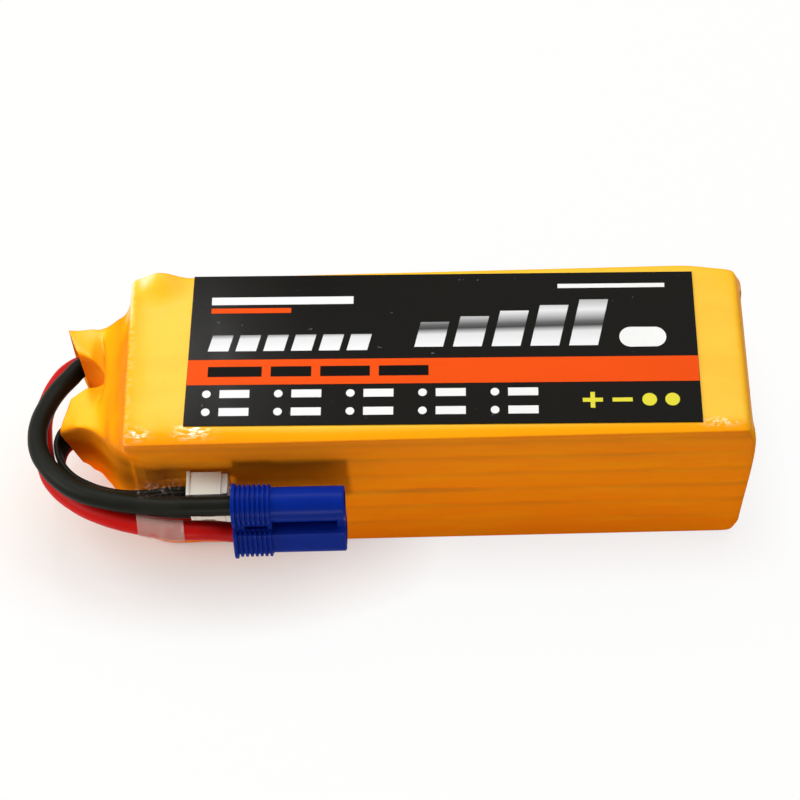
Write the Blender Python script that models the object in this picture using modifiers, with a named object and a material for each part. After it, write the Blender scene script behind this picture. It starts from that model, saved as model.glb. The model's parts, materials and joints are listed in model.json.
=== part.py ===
"""Six-cell lithium polymer battery pack with main leads and balance leads.

The pack lies flat: +X runs along its length, away from the lead end, +Z is up, and the
origin is at the centre of the flat underside. Every piece is its own object. Lengths are
in metres unless a name ends in _MM.
"""
import math

import bmesh
import bpy
from mathutils import Vector

MM = 0.001

# Pouch cells and the stack they make
CELL_COUNT = 6
CELL_LENGTH = 0.1240
CELL_WIDTH = 0.0424
CELL_THICKNESS = 0.0067
CELL_EDGE = 0.0011
PAD_THICKNESS = 0.0004
PAD_MARGIN = 0.0040
GUARD_THICKNESS = 0.0008
GUARD_INSET = 0.0015
STACK_GAP = 0.00015

# Cell tabs, the board they are soldered to, and the end pieces
TAB_WIDTH = 0.0100
TAB_THICKNESS = 0.0003
TAB_EDGE = 0.0052
TAB_REACH = 0.0083
TAB_TAIL = 0.0010
BOARD_THICKNESS = 0.0012
BOARD_INSET = 0.0025
INSULATOR_THICKNESS = 0.0005
INSULATOR_RIM = 0.0065
END_PAD_THICKNESS = 0.0010

# Shrunk film, its clearances, its lip over the far end and the control distances of its folds
FILM = 0.0004
FIT = 0.0003
SIDE_FIT = 0.0004
FILM_LIP = 0.0022
FILM_FOLD = 0.0019
FILM_END_FOLD = 0.0050
FILM_OPENING_FOLD = 0.0070

# Printed label
LABEL_LENGTH = 0.1130
LABEL_WIDTH = 0.0384
LABEL_THICKNESS = 0.0002
LABEL_LIFT = 0.0001
LABEL_SHIFT_X = 0.0015
LABEL_SHIFT_Y = 0.0009
LABEL_TURN = math.radians(-0.9)

# Leads
LEAD_DIAMETER = 0.0045
BALANCE_DIAMETER = 0.0014
LEAD_STEP = 2.0
LEAD_STANDOFF = 0.0008
SMOOTH_STEPS = 24

# Two-barrel main plug
PLUG_LENGTH = 0.0249
PLUG_PITCH = 0.0081
PLUG_TILT = math.radians(-19.0)
BARREL_DIAMETER = 0.0078
BARREL_BORE = 0.0064
PLUG_WEB = 0.0022
BRIDGE_WEB = 0.0048
BRIDGE_LENGTH = 0.0018
KEY_SQUARE = 1.22
GRIP_LENGTH = 0.0088
GRIP_DIAMETER = 0.0092
GRIP_WEB = 0.0058
GRIP_FLANGE = 0.0010
GRIP_FLANGE_DIAMETER = 0.0098
RIB_COUNT = 7
RIB_DEPTH = 0.0005
LEAD_SEAT = 0.0030
SOCKET_BORE = 0.0050
SOCKET_RECESS = 0.0050
SOCKET_DEPTH = 0.0095
BARREL_STEPS = 12
ROUND_SIDES = 16

# Seven-way balance plug
WAYS = 7
WAY_PITCH = 0.0025
BALANCE_DEPTH = 0.0088
BALANCE_THICKNESS = 0.0057
BALANCE_END = 0.00245
BALANCE_FLANGE = 0.0008
BALANCE_FLANGE_PROUD = 0.0002
WAY_HOLE = 0.0020
PIN_HOLE = 0.0011
FRONT_WALL = 0.0010
WIRE_SEAT = 0.0018
CONTACT_WIDTH = 0.0014

# Clear tape that holds the leads against the front of the pack
TAPE_WIDTH = 0.0104
TAPE_THICKNESS = 0.0002
TAPE_START_X = 0.0022
TAPE_TOP = 0.0425
TAPE_LEAVES = 0.0395
TAPE_RETURNS = 0.0120
TAPE_BOTTOM = 0.0060
TAPE_GAP = 0.0004
TAPE_STEPS = 4
ARC_STEPS = 5

# Lead routes, in millimetres from the corner where the front face meets the lead end.
# Each runs from the tab board, through its sleeve neck, to its plug.
BLACK_ROUTE_MM = [
    (-5.0, 34.0, 24.7), (-10.0, 35.2, 25.6), (-13.8, 34.0, 25.5), (-16.6, 30.7, 25.7),
    (-19.2, 26.5, 26.6), (-21.2, 21.4, 27.7), (-22.2, 16.9, 28.7), (-22.2, 12.7, 29.6),
    (-21.3, 8.5, 30.5), (-19.4, 4.8, 31.3), (-15.8, 0.2, 32.3), (-10.9, -3.5, 33.1),
    (-4.0, -6.2, 34.0), (0.6, -7.4, 34.5), (7.3, -8.5, 35.0), (12.9, -8.9, 35.3),
    (19.0, -9.0, 35.3),
]
RED_ROUTE_MM = [
    (-5.0, 38.0, 21.3), (-10.0, 38.1, 20.7), (-14.3, 37.3, 21.1), (-17.8, 34.9, 21.5),
    (-20.2, 31.3, 21.7), (-21.8, 26.7, 22.0), (-22.6, 21.6, 22.8), (-22.3, 16.6, 23.6),
    (-21.6, 12.2, 24.2), (-20.4, 7.6, 25.0), (-18.2, 2.8, 26.0), (-12.8, -2.9, 27.4),
    (-6.6, -6.9, 28.6), (2.2, -10.2, 29.5), (9.5, -11.9, 29.6), (14.5, -12.2, 29.1),
    (19.0, -11.8, 28.0),
]
# The balance leads run as an upright ribbon: each point adds the pitch between leads.
BALANCE_ROUTE_MM = [
    (-7.0, 17.2, 23.8, 1.5), (-13.5, 16.9, 23.6, 1.5), (-16.3, 15.9, 23.7, 1.5),
    (-17.75, 13.2, 23.9, 1.5), (-17.6, 9.6, 24.2, 1.5), (-16.2, 6.2, 24.5, 1.5),
    (-13.6, 2.9, 24.9, 1.5), (-10.0, 0.4, 25.3, 1.5), (-5.5, -1.6, 25.6, 1.55),
    (-0.5, -2.8, 25.7, 1.7), (2.3, -3.1, 25.7, 1.85), (5.0, -3.3, 25.7, 2.05),
    (9.5, -3.4, 25.65, 2.4),
]
BLACK_PAD_MM = (32.2, 23.6)
RED_PAD_MM = (37.5, 23.2)
BALANCE_PAD_MM = (17.6, 24.0, 1.5)
MAIN_PLUG_MM = (23.4, -9.0, 35.3)
BALANCE_PLUG_X_MM = 13.4
BALANCE_PLUG_Z_MM = 25.65

# Film at the lead end, in millimetres from the same corner: a shoulder that narrows in two steps,
# then two necks with a valley between them. Each ring has four corners, in this order: front
# top, back top, back bottom and front bottom.
SHOULDER_MM = [
    [(-2.8, 3.6, 41.0), (-3.2, 40.8, 37.6), (-3.6, 43.6, 5.0), (-3.4, 4.0, 4.5)],
    [(-7.6, 10.6, 36.6), (-7.4, 39.2, 33.8), (-8.0, 43.5, 10.5), (-8.2, 11.0, 11.0)],
]
SPLIT_TOP_MM = (-5.0, 26.4, 31.0)
SPLIT_BOTTOM_MM = (-6.5, 25.6, 11.0)
MAIN_NECK_MM = [
    [(-10.6, 30.4, 36.2), (-11.5, 38.0, 35.2), (-12.2, 42.8, 11.5), (-10.2, 28.4, 11.5)],
    [(-13.0, 30.6, 37.4), (-15.6, 37.6, 37.0), (-17.4, 42.6, 12.0), (-12.0, 29.6, 12.4)],
]
BALANCE_NECK_MM = [
    [(-11.8, 12.2, 35.4), (-11.0, 22.4, 35.6), (-10.8, 22.6, 12.6), (-10.6, 12.0, 12.8)],
    [(-16.8, 12.0, 33.0), (-14.0, 19.8, 35.2), (-13.4, 21.6, 15.4), (-13.0, 12.2, 17.2)],
]

# Sizes that follow from the values above
TAB_OFFSET = CELL_WIDTH / 2 - TAB_EDGE - TAB_WIDTH / 2
CELL_PITCH = CELL_THICKNESS + PAD_THICKNESS + 2 * STACK_GAP
FIRST_CELL = FILM + FIT + GUARD_THICKNESS + STACK_GAP
STACK_TOP = FIRST_CELL + (CELL_COUNT - 1) * CELL_PITCH + CELL_THICKNESS
BODY_HEIGHT = STACK_TOP + STACK_GAP + GUARD_THICKNESS + FIT + FILM
BODY_WIDTH = CELL_WIDTH + 2 * (SIDE_FIT + FILM)
LEAD_END_DEPTH = TAB_REACH + BOARD_THICKNESS + TAB_TAIL + FIT + INSULATOR_THICKNESS
BODY_LENGTH = CELL_LENGTH + LEAD_END_DEPTH + END_PAD_THICKNESS + 3 * FIT + 2 * FILM
CELL_FAR_X = BODY_LENGTH / 2 - FILM - 2 * FIT - END_PAD_THICKNESS
CELL_NEAR_X = CELL_FAR_X - CELL_LENGTH
BOARD_INNER_X = CELL_NEAR_X - TAB_REACH
BOARD_OUTER_X = BOARD_INNER_X - BOARD_THICKNESS
INSULATOR_OUTER_X = -BODY_LENGTH / 2 + FILM + FIT
GUARD_WIDTH = CELL_WIDTH - 2 * GUARD_INSET
END_LOW = FIRST_CELL + GUARD_INSET
END_HIGH = STACK_TOP - GUARD_INSET
CORNER = Vector((-BODY_LENGTH / 2, -BODY_WIDTH / 2, 0.0))
SOCKET_DIAMETER = BARREL_BORE - 2 * FIT
BALANCE_WIDTH = (WAYS - 1) * WAY_PITCH + 2 * BALANCE_END


def clear_scene():
    """Remove every object of the open scene."""
    for old in list(bpy.data.objects):
        bpy.data.objects.remove(old, do_unlink=True)


def make_collection(name):
    """Add a collection to the scene."""
    collection = bpy.data.collections.new(name)
    bpy.context.scene.collection.children.link(collection)
    return collection


def make_material(name, color, roughness, metallic=0.0):
    """Principled material of one colour."""
    material = bpy.data.materials.new(name)
    material.use_nodes = True
    shader = material.node_tree.nodes["Principled BSDF"]
    shader.inputs["Base Color"].default_value = (*color, 1.0)
    shader.inputs["Roughness"].default_value = roughness
    shader.inputs["Metallic"].default_value = metallic
    return material


def add_node(name, data, material, parent=None):
    """Put mesh or curve data into the scene as one piece of the pack."""
    node = bpy.data.objects.new(name, data)
    data.materials.append(material)
    PARTS.objects.link(node)
    node.parent = parent or PACK
    return node


def mesh_from(bm, name):
    """Turn a bmesh into mesh data, with its faces out and round stretches smooth."""
    bmesh.ops.recalc_face_normals(bm, faces=bm.faces)
    mesh = bpy.data.meshes.new(name)
    bm.to_mesh(mesh)
    bm.free()
    mesh.shade_smooth()
    mesh.set_sharp_from_angle(angle=math.radians(35))
    return mesh


def add_box(bm, low, high):
    """Add a box between two corners to a bmesh and return its vertices."""
    low, high = Vector(low), Vector(high)
    verts = bmesh.ops.create_cube(bm, size=1.0)["verts"]
    bmesh.ops.scale(bm, vec=high - low, verts=verts)
    bmesh.ops.translate(bm, vec=(low + high) / 2, verts=verts)
    return verts


def box_node(name, low, high, material, bevel=0.0, parent=None):
    """A plain box piece, with rounded edges where bevel is given."""
    bm = bmesh.new()
    add_box(bm, low, high)
    node = add_node(name, mesh_from(bm, name), material, parent)
    if bevel:
        rounding = node.modifiers.new("edges", "BEVEL")
        rounding.width = bevel
        rounding.segments = 2
    return node


def turned(profile, sides=ROUND_SIDES):
    """Spin a profile of (x, radius) points about the X axis into a closed bmesh."""
    bm = bmesh.new()
    points = [bm.verts.new((x, 0.0, radius)) for x, radius in profile]
    edges = [bm.edges.new(pair) for pair in zip(points, points[1:])]
    bmesh.ops.spin(bm, geom=points + edges, axis=(1, 0, 0), cent=(0, 0, 0),
                   angle=2 * math.pi, steps=sides, use_merge=True)
    bmesh.ops.remove_doubles(bm, verts=bm.verts, dist=1e-7)
    return bm


def cutter(name, bm, parent=None):
    """Keep a bmesh as a hidden cutting shape."""
    tool = bpy.data.objects.new(name, mesh_from(bm, name))
    CUTTERS.objects.link(tool)
    tool.parent = parent or PACK
    tool.hide_render = True
    tool.display_type = "WIRE"
    return tool


def boolean(node, tool, operation):
    """Join a hidden shape to a piece or cut it out of it."""
    step = node.modifiers.new(tool.name, "BOOLEAN")
    step.operation = operation
    step.object = tool


def from_corner(point_mm):
    """Place a point given in millimetres from the corner of the lead end."""
    return CORNER + Vector(point_mm) * MM


def smooth_points(points, spacing):
    """Points at about the given spacing along a smooth curve through all the points."""
    ends = [2 * points[0] - points[1], *points, 2 * points[-1] - points[-2]]
    fine = []
    for before, start, stop, after in zip(ends, ends[1:], ends[2:], ends[3:]):
        reach = (stop - start).length
        slope_in = (stop - before) * (reach / ((stop - start).length + (start - before).length))
        slope_out = (after - start) * (reach / ((after - stop).length + reach))
        for step in range(SMOOTH_STEPS):
            t = step / SMOOTH_STEPS
            fine.append((2 * t**3 - 3 * t**2 + 1) * start + (t**3 - 2 * t**2 + t) * slope_in
                        + (3 * t**2 - 2 * t**3) * stop + (t**3 - t**2) * slope_out)
    fine.append(points[-1])
    lengths = [0.0]
    for here, there in zip(fine, fine[1:]):
        lengths.append(lengths[-1] + (there - here).length)
    count = max(2, round(lengths[-1] / spacing))
    even, index = [], 0
    for step in range(count + 1):
        target = lengths[-1] * step / count
        while index < len(fine) - 2 and lengths[index + 1] < target:
            index += 1
        share = (target - lengths[index]) / (lengths[index + 1] - lengths[index])
        even.append(fine[index].lerp(fine[index + 1], share))
    return even


def lead_node(name, points, diameter, sides_level, material):
    """A lead as a round tube along a smooth route."""
    curve = bpy.data.curves.new(name, "CURVE")
    curve.dimensions = "3D"
    curve.bevel_depth = diameter / 2
    curve.bevel_resolution = sides_level
    curve.use_fill_caps = True
    route = smooth_points(points, LEAD_STEP * diameter)
    spline = curve.splines.new("POLY")
    spline.points.add(len(route) - 1)
    for control, place in zip(spline.points, route):
        control.co = (*place, 1.0)
    add_node(name, curve, material)
    return route


def build_cells():
    """Cells, the pads between them, the guard plates and every cell's two tabs."""
    pouch = make_material("cell_pouch", (0.62, 0.64, 0.66), 0.35, 0.7)
    pad = make_material("cell_pad", (0.80, 0.78, 0.70), 0.8)
    guard = make_material("guard_sheet", (0.16, 0.30, 0.20), 0.5)
    nickel = make_material("tab_nickel", (0.62, 0.60, 0.56), 0.3, 1.0)
    aluminium = make_material("tab_aluminium", (0.80, 0.81, 0.83), 0.3, 1.0)
    half = CELL_WIDTH / 2
    for index in range(CELL_COUNT):
        low = FIRST_CELL + index * CELL_PITCH
        high = low + CELL_THICKNESS
        box_node(f"cell_{index + 1}", (CELL_NEAR_X, -half, low), (CELL_FAR_X, half, high),
                 pouch, CELL_EDGE)
        if index < CELL_COUNT - 1:
            pad_low = high + STACK_GAP
            box_node(f"cell_pad_{index + 1}",
                     (CELL_NEAR_X + PAD_MARGIN, -half + PAD_MARGIN, pad_low),
                     (CELL_FAR_X - PAD_MARGIN, half - PAD_MARGIN, pad_low + PAD_THICKNESS), pad)
        middle = (low + high) / 2
        side = 1 if index % 2 == 0 else -1
        for label, sign, metal in (("positive", side, aluminium), ("negative", -side, nickel)):
            centre = sign * TAB_OFFSET
            box_node(f"cell_{index + 1}_tab_{label}",
                     (BOARD_OUTER_X - TAB_TAIL, centre - TAB_WIDTH / 2, middle - TAB_THICKNESS / 2),
                     (CELL_NEAR_X - STACK_GAP, centre + TAB_WIDTH / 2, middle + TAB_THICKNESS / 2),
                     metal)
    for name, low in (("bottom_guard_plate", FILM + FIT), ("top_guard_plate", STACK_TOP + STACK_GAP)):
        box_node(name, (CELL_NEAR_X, -GUARD_WIDTH / 2, low),
                 (CELL_FAR_X, GUARD_WIDTH / 2, low + GUARD_THICKNESS), guard)


def build_lead_end():
    """The slotted tab board and the insulating frame outside it."""
    laminate = make_material("board_laminate", (0.10, 0.24, 0.14), 0.5)
    paper = make_material("insulator_card", (0.70, 0.66, 0.58), 0.9)
    half = CELL_WIDTH / 2 - BOARD_INSET
    board = box_node("tab_board", (BOARD_OUTER_X, -half, END_LOW), (BOARD_INNER_X, half, END_HIGH),
                     laminate)
    slots = bmesh.new()
    for index in range(CELL_COUNT):
        middle = FIRST_CELL + index * CELL_PITCH + CELL_THICKNESS / 2
        for centre in (-TAB_OFFSET, TAB_OFFSET):
            add_box(slots,
                    (BOARD_OUTER_X - FIT, centre - TAB_WIDTH / 2 - FIT, middle - TAB_THICKNESS / 2 - FIT),
                    (BOARD_INNER_X + FIT, centre + TAB_WIDTH / 2 + FIT, middle + TAB_THICKNESS / 2 + FIT))
    boolean(board, cutter("tab_slots", slots), "DIFFERENCE")
    frame = box_node("tab_end_insulator", (INSULATOR_OUTER_X, -half, END_LOW),
                     (INSULATOR_OUTER_X + INSULATOR_THICKNESS, half, END_HIGH), paper)
    window = bmesh.new()
    rim = INSULATOR_RIM
    add_box(window, (INSULATOR_OUTER_X - FIT, -half + rim, END_LOW + rim),
            (INSULATOR_OUTER_X + INSULATOR_THICKNESS + FIT, half - FIT, END_HIGH - rim))
    boolean(frame, cutter("insulator_window", window), "DIFFERENCE")


def build_end_pad():
    """Foam pad that covers the far end of the cells."""
    foam = make_material("end_foam", (0.09, 0.09, 0.09), 0.9)
    near = CELL_FAR_X + FIT
    half = GUARD_WIDTH / 2
    box_node("rear_end_pad", (near, -half, END_LOW), (near + END_PAD_THICKNESS, half, END_HIGH), foam)


def step_out(bm, face, corners_mm):
    """Extrude a face and set its corners: front top, back top, back bottom and front bottom."""
    face = bmesh.ops.extrude_discrete_faces(bm, faces=[face])["faces"][0]
    middle = face.calc_center_median()
    for vert in face.verts:
        back, low = vert.co.y > middle.y, vert.co.z < middle.z
        vert.co = from_corner(corners_mm[2 * low + (back != low)])
    return face


def cut_loop(bm, faces, place, normal):
    """Cut a line of edges across some of the faces."""
    cut = dict.fromkeys(item for face in faces for item in (face, *face.edges, *face.verts))
    return bmesh.ops.bisect_plane(bm, geom=list(cut), plane_co=place, plane_no=normal)


def side_plane(axis, sign, inset):
    """Point and normal of a plane that lies inside one side of the pack."""
    half = Vector((BODY_LENGTH / 2, BODY_WIDTH / 2, BODY_HEIGHT / 2))
    normal = Vector((0.0, 0.0, 0.0))
    normal[axis] = 1.0
    return Vector((0.0, 0.0, half.z)) + normal * sign * (half[axis] - inset), normal


def end_face(bm, sign):
    """The middle face of the box at one end."""
    faces = [face for face in bm.faces if face.normal.x * sign > 0.9]
    return max(faces, key=lambda face: face.calc_area())


def build_sleeve():
    """Shrunk film: a rounded box, open over the far end, drawn down to two necks for the leads."""
    film = make_material("shrink_film", (0.95, 0.52, 0.03), 0.22)
    bm = bmesh.new()
    add_box(bm, CORNER, (BODY_LENGTH / 2, BODY_WIDTH / 2, BODY_HEIGHT))
    for axis in range(3):
        for sign in (-1, 1):
            fold = FILM_END_FOLD if (axis, sign) == (0, 1) else FILM_FOLD
            cut_loop(bm, bm.faces, *side_plane(axis, sign, fold))
    bm.normal_update()
    far = end_face(bm, 1)
    bmesh.ops.inset_region(bm, faces=[far], thickness=FILM_LIP)
    bmesh.ops.delete(bm, geom=[far], context="FACES_ONLY")
    for axis in (1, 2):
        for sign in (-1, 1):
            rim = [face for face in bm.faces
                   if face.calc_center_median().x > BODY_LENGTH / 2 - FILM_END_FOLD]
            cut_loop(bm, rim, *side_plane(axis, sign, FILM_OPENING_FOLD))
    face = end_face(bm, -1)
    for corners in SHOULDER_MM:
        face = step_out(bm, face, corners)
    split = cut_loop(bm, [face], from_corner(SPLIT_TOP_MM), (0, 1, 0))
    valley = [item for item in split["geom_cut"] if isinstance(item, bmesh.types.BMVert)]
    halves = [item for item in split["geom"] if isinstance(item, bmesh.types.BMFace)]
    halves.sort(key=lambda part: part.calc_center_median().y)
    for vert, place in zip(sorted(valley, key=lambda vert: vert.co.z), (SPLIT_BOTTOM_MM, SPLIT_TOP_MM)):
        vert.co = from_corner(place)
    mouths = []
    for part, rings in zip(halves, (BALANCE_NECK_MM, MAIN_NECK_MM)):
        for corners in rings:
            part = step_out(bm, part, corners)
        mouths.append(part)
    bmesh.ops.delete(bm, geom=mouths, context="FACES_ONLY")
    sleeve = add_node("shrink_film_sleeve", mesh_from(bm, "shrink_film_sleeve"), film)
    soft = sleeve.modifiers.new("soft", "SUBSURF")
    soft.levels = 1
    soft.render_levels = 1
    soft.use_limit_surface = False
    wall = sleeve.modifiers.new("wall", "SOLIDIFY")
    wall.thickness = FILM
    wall.offset = -1.0
    wall.use_even_offset = True


def build_label():
    """Printed label on the top of the film."""
    print_film = make_material("label_print", (0.03, 0.025, 0.02), 0.3)
    low = BODY_HEIGHT + LABEL_LIFT
    label = box_node("label", (-LABEL_LENGTH / 2, -LABEL_WIDTH / 2, 0.0),
                     (LABEL_LENGTH / 2, LABEL_WIDTH / 2, LABEL_THICKNESS), print_film)
    label.location = (LABEL_SHIFT_X, LABEL_SHIFT_Y, low)
    label.rotation_euler = (0.0, 0.0, LABEL_TURN)


def build_main_leads():
    """The two heavy leads from the tab board to the main plug."""
    black = make_material("black_silicone", (0.02, 0.02, 0.018), 0.45)
    red = make_material("red_silicone", (0.60, 0.03, 0.02), 0.4)
    start_x = BOARD_OUTER_X - LEAD_STANDOFF
    rear = from_corner(MAIN_PLUG_MM)
    drop = PLUG_PITCH * Vector((0.0, math.sin(PLUG_TILT), -math.cos(PLUG_TILT)))
    routes = {}
    for name, route_mm, pad_mm, axis, material in (
            ("main_lead_black", BLACK_ROUTE_MM, BLACK_PAD_MM, rear, black),
            ("main_lead_red", RED_ROUTE_MM, RED_PAD_MM, rear + drop, red)):
        start = from_corner((0.0, *pad_mm))
        start.x = start_x
        points = [start] + [from_corner(point) for point in route_mm]
        points += [axis, axis + Vector((LEAD_SEAT, 0.0, 0.0))]
        routes[name] = lead_node(name, points, LEAD_DIAMETER, 3, material)
    return routes


def plug_outline(diameter, web, square):
    """Section of the plug as (y, z) points: two barrels joined by a web, the low one squared off."""
    radius = diameter / 2
    reach = min(math.acos(web / diameter), math.asin(min(1.0, (PLUG_PITCH / 2 - FIT) / radius)))
    points = []
    for centre, start in ((PLUG_PITCH / 2, -reach), (-PLUG_PITCH / 2, math.pi - reach)):
        for step in range(BARREL_STEPS + 1):
            angle = start + (math.pi + 2 * reach) * step / BARREL_STEPS
            across, along = math.cos(angle), math.sin(angle)
            grow = min(1 / max(abs(across), abs(along)), square) if centre < 0 and along < 0 else 1.0
            points.append((radius * grow * across, centre + radius * grow * along))
    return points


def build_main_plug():
    """Blue housing of two barrels with a ribbed grip, and the two sockets inside it."""
    blue = make_material("plug_blue", (0.01, 0.05, 0.42), 0.35)
    gold = make_material("socket_gold", (0.83, 0.62, 0.24), 0.25, 1.0)
    holder = bpy.data.objects.new("main_plug_place", None)
    PARTS.objects.link(holder)
    holder.parent = PACK
    rear = from_corner(MAIN_PLUG_MM)
    middle_drop = PLUG_PITCH / 2 * Vector((0.0, math.sin(PLUG_TILT), -math.cos(PLUG_TILT)))
    holder.location = rear + middle_drop
    holder.rotation_euler = (PLUG_TILT, 0.0, 0.0)
    rib_step = (GRIP_LENGTH - GRIP_FLANGE) / RIB_COUNT
    rings = [(0.0, GRIP_FLANGE_DIAMETER, GRIP_WEB, 1.0), (GRIP_FLANGE, GRIP_FLANGE_DIAMETER, GRIP_WEB, 1.0)]
    for rib in range(RIB_COUNT):
        start = GRIP_FLANGE + rib * rib_step
        rings.append((start + FIT, GRIP_DIAMETER - 2 * RIB_DEPTH, GRIP_WEB, 1.0))
        rings.append((start + rib_step / 2 + FIT, GRIP_DIAMETER, GRIP_WEB, 1.0))
    rings.append((GRIP_LENGTH, GRIP_DIAMETER, GRIP_WEB, 1.0))
    bridge = PLUG_LENGTH - BRIDGE_LENGTH
    rings += [(x, BARREL_DIAMETER, PLUG_WEB, KEY_SQUARE) for x in (GRIP_LENGTH, bridge - FIT)]
    rings += [(x, BARREL_DIAMETER, BRIDGE_WEB, KEY_SQUARE) for x in (bridge, PLUG_LENGTH)]
    shell = bmesh.new()
    first = [shell.verts.new((rings[0][0], *place)) for place in plug_outline(*rings[0][1:])]
    face = shell.faces.new(first)
    for x, diameter, web, square in rings[1:]:
        face = bmesh.ops.extrude_discrete_faces(shell, faces=[face])["faces"][0]
        for vert, place in zip(face.verts, plug_outline(diameter, web, square)):
            vert.co = (x, *place)
    shell.faces.new(reversed(first))
    housing = add_node("main_plug_housing", mesh_from(shell, "main_plug_housing"), blue, holder)
    bores = bmesh.new()
    for sign in (-1, 1):
        bore = turned([(-FIT, 0.0), (-FIT, BARREL_BORE / 2), (PLUG_LENGTH + FIT, BARREL_BORE / 2),
                       (PLUG_LENGTH + FIT, 0.0)])
        bmesh.ops.translate(bore, vec=(0.0, 0.0, sign * PLUG_PITCH / 2), verts=bore.verts)
        single = bpy.data.meshes.new("plug_bore")
        bore.to_mesh(single)
        bore.free()
        bores.from_mesh(single)
    boolean(housing, cutter("plug_bores", bores, holder), "DIFFERENCE")
    front = PLUG_LENGTH - SOCKET_RECESS
    rear_x = LEAD_SEAT + FIT
    for name, sign in (("main_socket_negative", 1), ("main_socket_positive", -1)):
        tube = turned([(rear_x, 0.0), (rear_x, SOCKET_DIAMETER / 2), (front, SOCKET_DIAMETER / 2),
                       (front, SOCKET_BORE / 2), (front - SOCKET_DEPTH, SOCKET_BORE / 2),
                       (front - SOCKET_DEPTH, 0.0)])
        socket = add_node(name, mesh_from(tube, name), gold, holder)
        socket.location = (0.0, 0.0, sign * PLUG_PITCH / 2)


def build_balance_plug():
    """White seven-way housing with one crimped contact in each way, on its seven leads."""
    white = make_material("plug_white", (0.72, 0.70, 0.64), 0.45)
    tin = make_material("contact_tin", (0.72, 0.71, 0.69), 0.3, 1.0)
    black = make_material("balance_black", (0.02, 0.02, 0.02), 0.45)
    red = make_material("balance_red", (0.55, 0.03, 0.02), 0.45)
    half_y, half_z = BALANCE_THICKNESS / 2, BALANCE_WIDTH / 2
    rear = from_corner((BALANCE_PLUG_X_MM, 0.0, BALANCE_PLUG_Z_MM))
    rear.y -= FIT + BALANCE_FLANGE_PROUD + half_y
    housing = box_node("balance_plug_housing", (0.0, -half_y, -half_z),
                       (BALANCE_DEPTH, half_y, half_z), white)
    housing.location = rear
    proud = BALANCE_FLANGE_PROUD
    rim = bmesh.new()
    add_box(rim, (-FIT, -half_y - proud, -half_z - proud), (BALANCE_FLANGE, half_y + proud, half_z + proud))
    flange = cutter("balance_flange", rim)
    flange.location = rear
    boolean(housing, flange, "UNION")
    ways, pins = bmesh.new(), bmesh.new()
    for way in range(WAYS):
        z = (way - (WAYS - 1) / 2) * WAY_PITCH
        add_box(ways, (-2 * FIT, -WAY_HOLE / 2, z - WAY_HOLE / 2),
                (BALANCE_DEPTH - FRONT_WALL, WAY_HOLE / 2, z + WAY_HOLE / 2))
        add_box(pins, (BALANCE_DEPTH - 2 * FRONT_WALL, -PIN_HOLE / 2, z - PIN_HOLE / 2),
                (BALANCE_DEPTH + FIT, PIN_HOLE / 2, z + PIN_HOLE / 2))
    for name, bm in (("balance_ways", ways), ("balance_pin_holes", pins)):
        tool = cutter(name, bm)
        tool.location = rear
        boolean(housing, tool, "DIFFERENCE")
    contact_end = BALANCE_DEPTH - FRONT_WALL - FIT
    for way in range(WAYS):
        offset = way - (WAYS - 1) / 2
        z = offset * WAY_PITCH
        contact = box_node(f"balance_contact_{way + 1}",
                           (WIRE_SEAT + FIT, -CONTACT_WIDTH / 2, z - CONTACT_WIDTH / 2),
                           (contact_end, CONTACT_WIDTH / 2, z + CONTACT_WIDTH / 2), tin)
        contact.location = rear
        pad_y, pad_z, pad_pitch = BALANCE_PAD_MM
        start = from_corner((0.0, pad_y, pad_z + offset * pad_pitch))
        start.x = BOARD_OUTER_X - LEAD_STANDOFF
        points = [start]
        points += [from_corner((x, y, z_mid + offset * pitch)) for x, y, z_mid, pitch in BALANCE_ROUTE_MM]
        points.append(rear + Vector((WIRE_SEAT, 0.0, z)))
        lead_node(f"balance_lead_{way + 1}", points, BALANCE_DIAMETER, 2, red if way == 0 else black)


def route_at(route, x):
    """Point where a lead, on its way to the plug, passes a given x."""
    for here, there in zip(reversed(route[:-1]), reversed(route[1:])):
        if here.x <= x <= there.x:
            return here.lerp(there, (x - here.x) / (there.x - here.x))
    raise ValueError("the lead does not reach the tape")


def arc(centre, radius, start, stop):
    """Points of an arc in the plane across the leads, from start to stop."""
    angles = [start + (stop - start) * step / ARC_STEPS for step in range(ARC_STEPS + 1)]
    return [(centre[0] + radius * math.cos(a), centre[1] + radius * math.sin(a)) for a in angles]


def tangent_angle(centre, radius, point, side):
    """Angle on a circle where a line from a point outside touches it."""
    dy, dz = point[0] - centre[0], point[1] - centre[1]
    return math.atan2(dz, dy) + side * math.acos(radius / math.hypot(dy, dz))


def tape_section(x, routes):
    """Outline of the tape across the leads: down the face, round both leads, back to the face."""
    radius = LEAD_DIAMETER / 2 + TAPE_GAP
    black = route_at(routes["main_lead_black"], x)
    red = route_at(routes["main_lead_red"], x)
    face = CORNER.y - FIT
    over, under = (face, TAPE_LEAVES), (face, TAPE_RETURNS)
    outward = math.atan2(red.z - black.z, red.y - black.y) - math.pi / 2
    first = tangent_angle((black.y, black.z), radius, over, 1)
    last = tangent_angle((red.y, red.z), radius, under, -1)
    outward %= 2 * math.pi
    last %= 2 * math.pi
    section = [(face, TAPE_TOP), over]
    section += arc((black.y, black.z), radius, first, outward)
    section += arc((red.y, red.z), radius, outward, last)
    section += [under, (face, TAPE_BOTTOM)]
    return [Vector((x, y, z)) for y, z in section]


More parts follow.
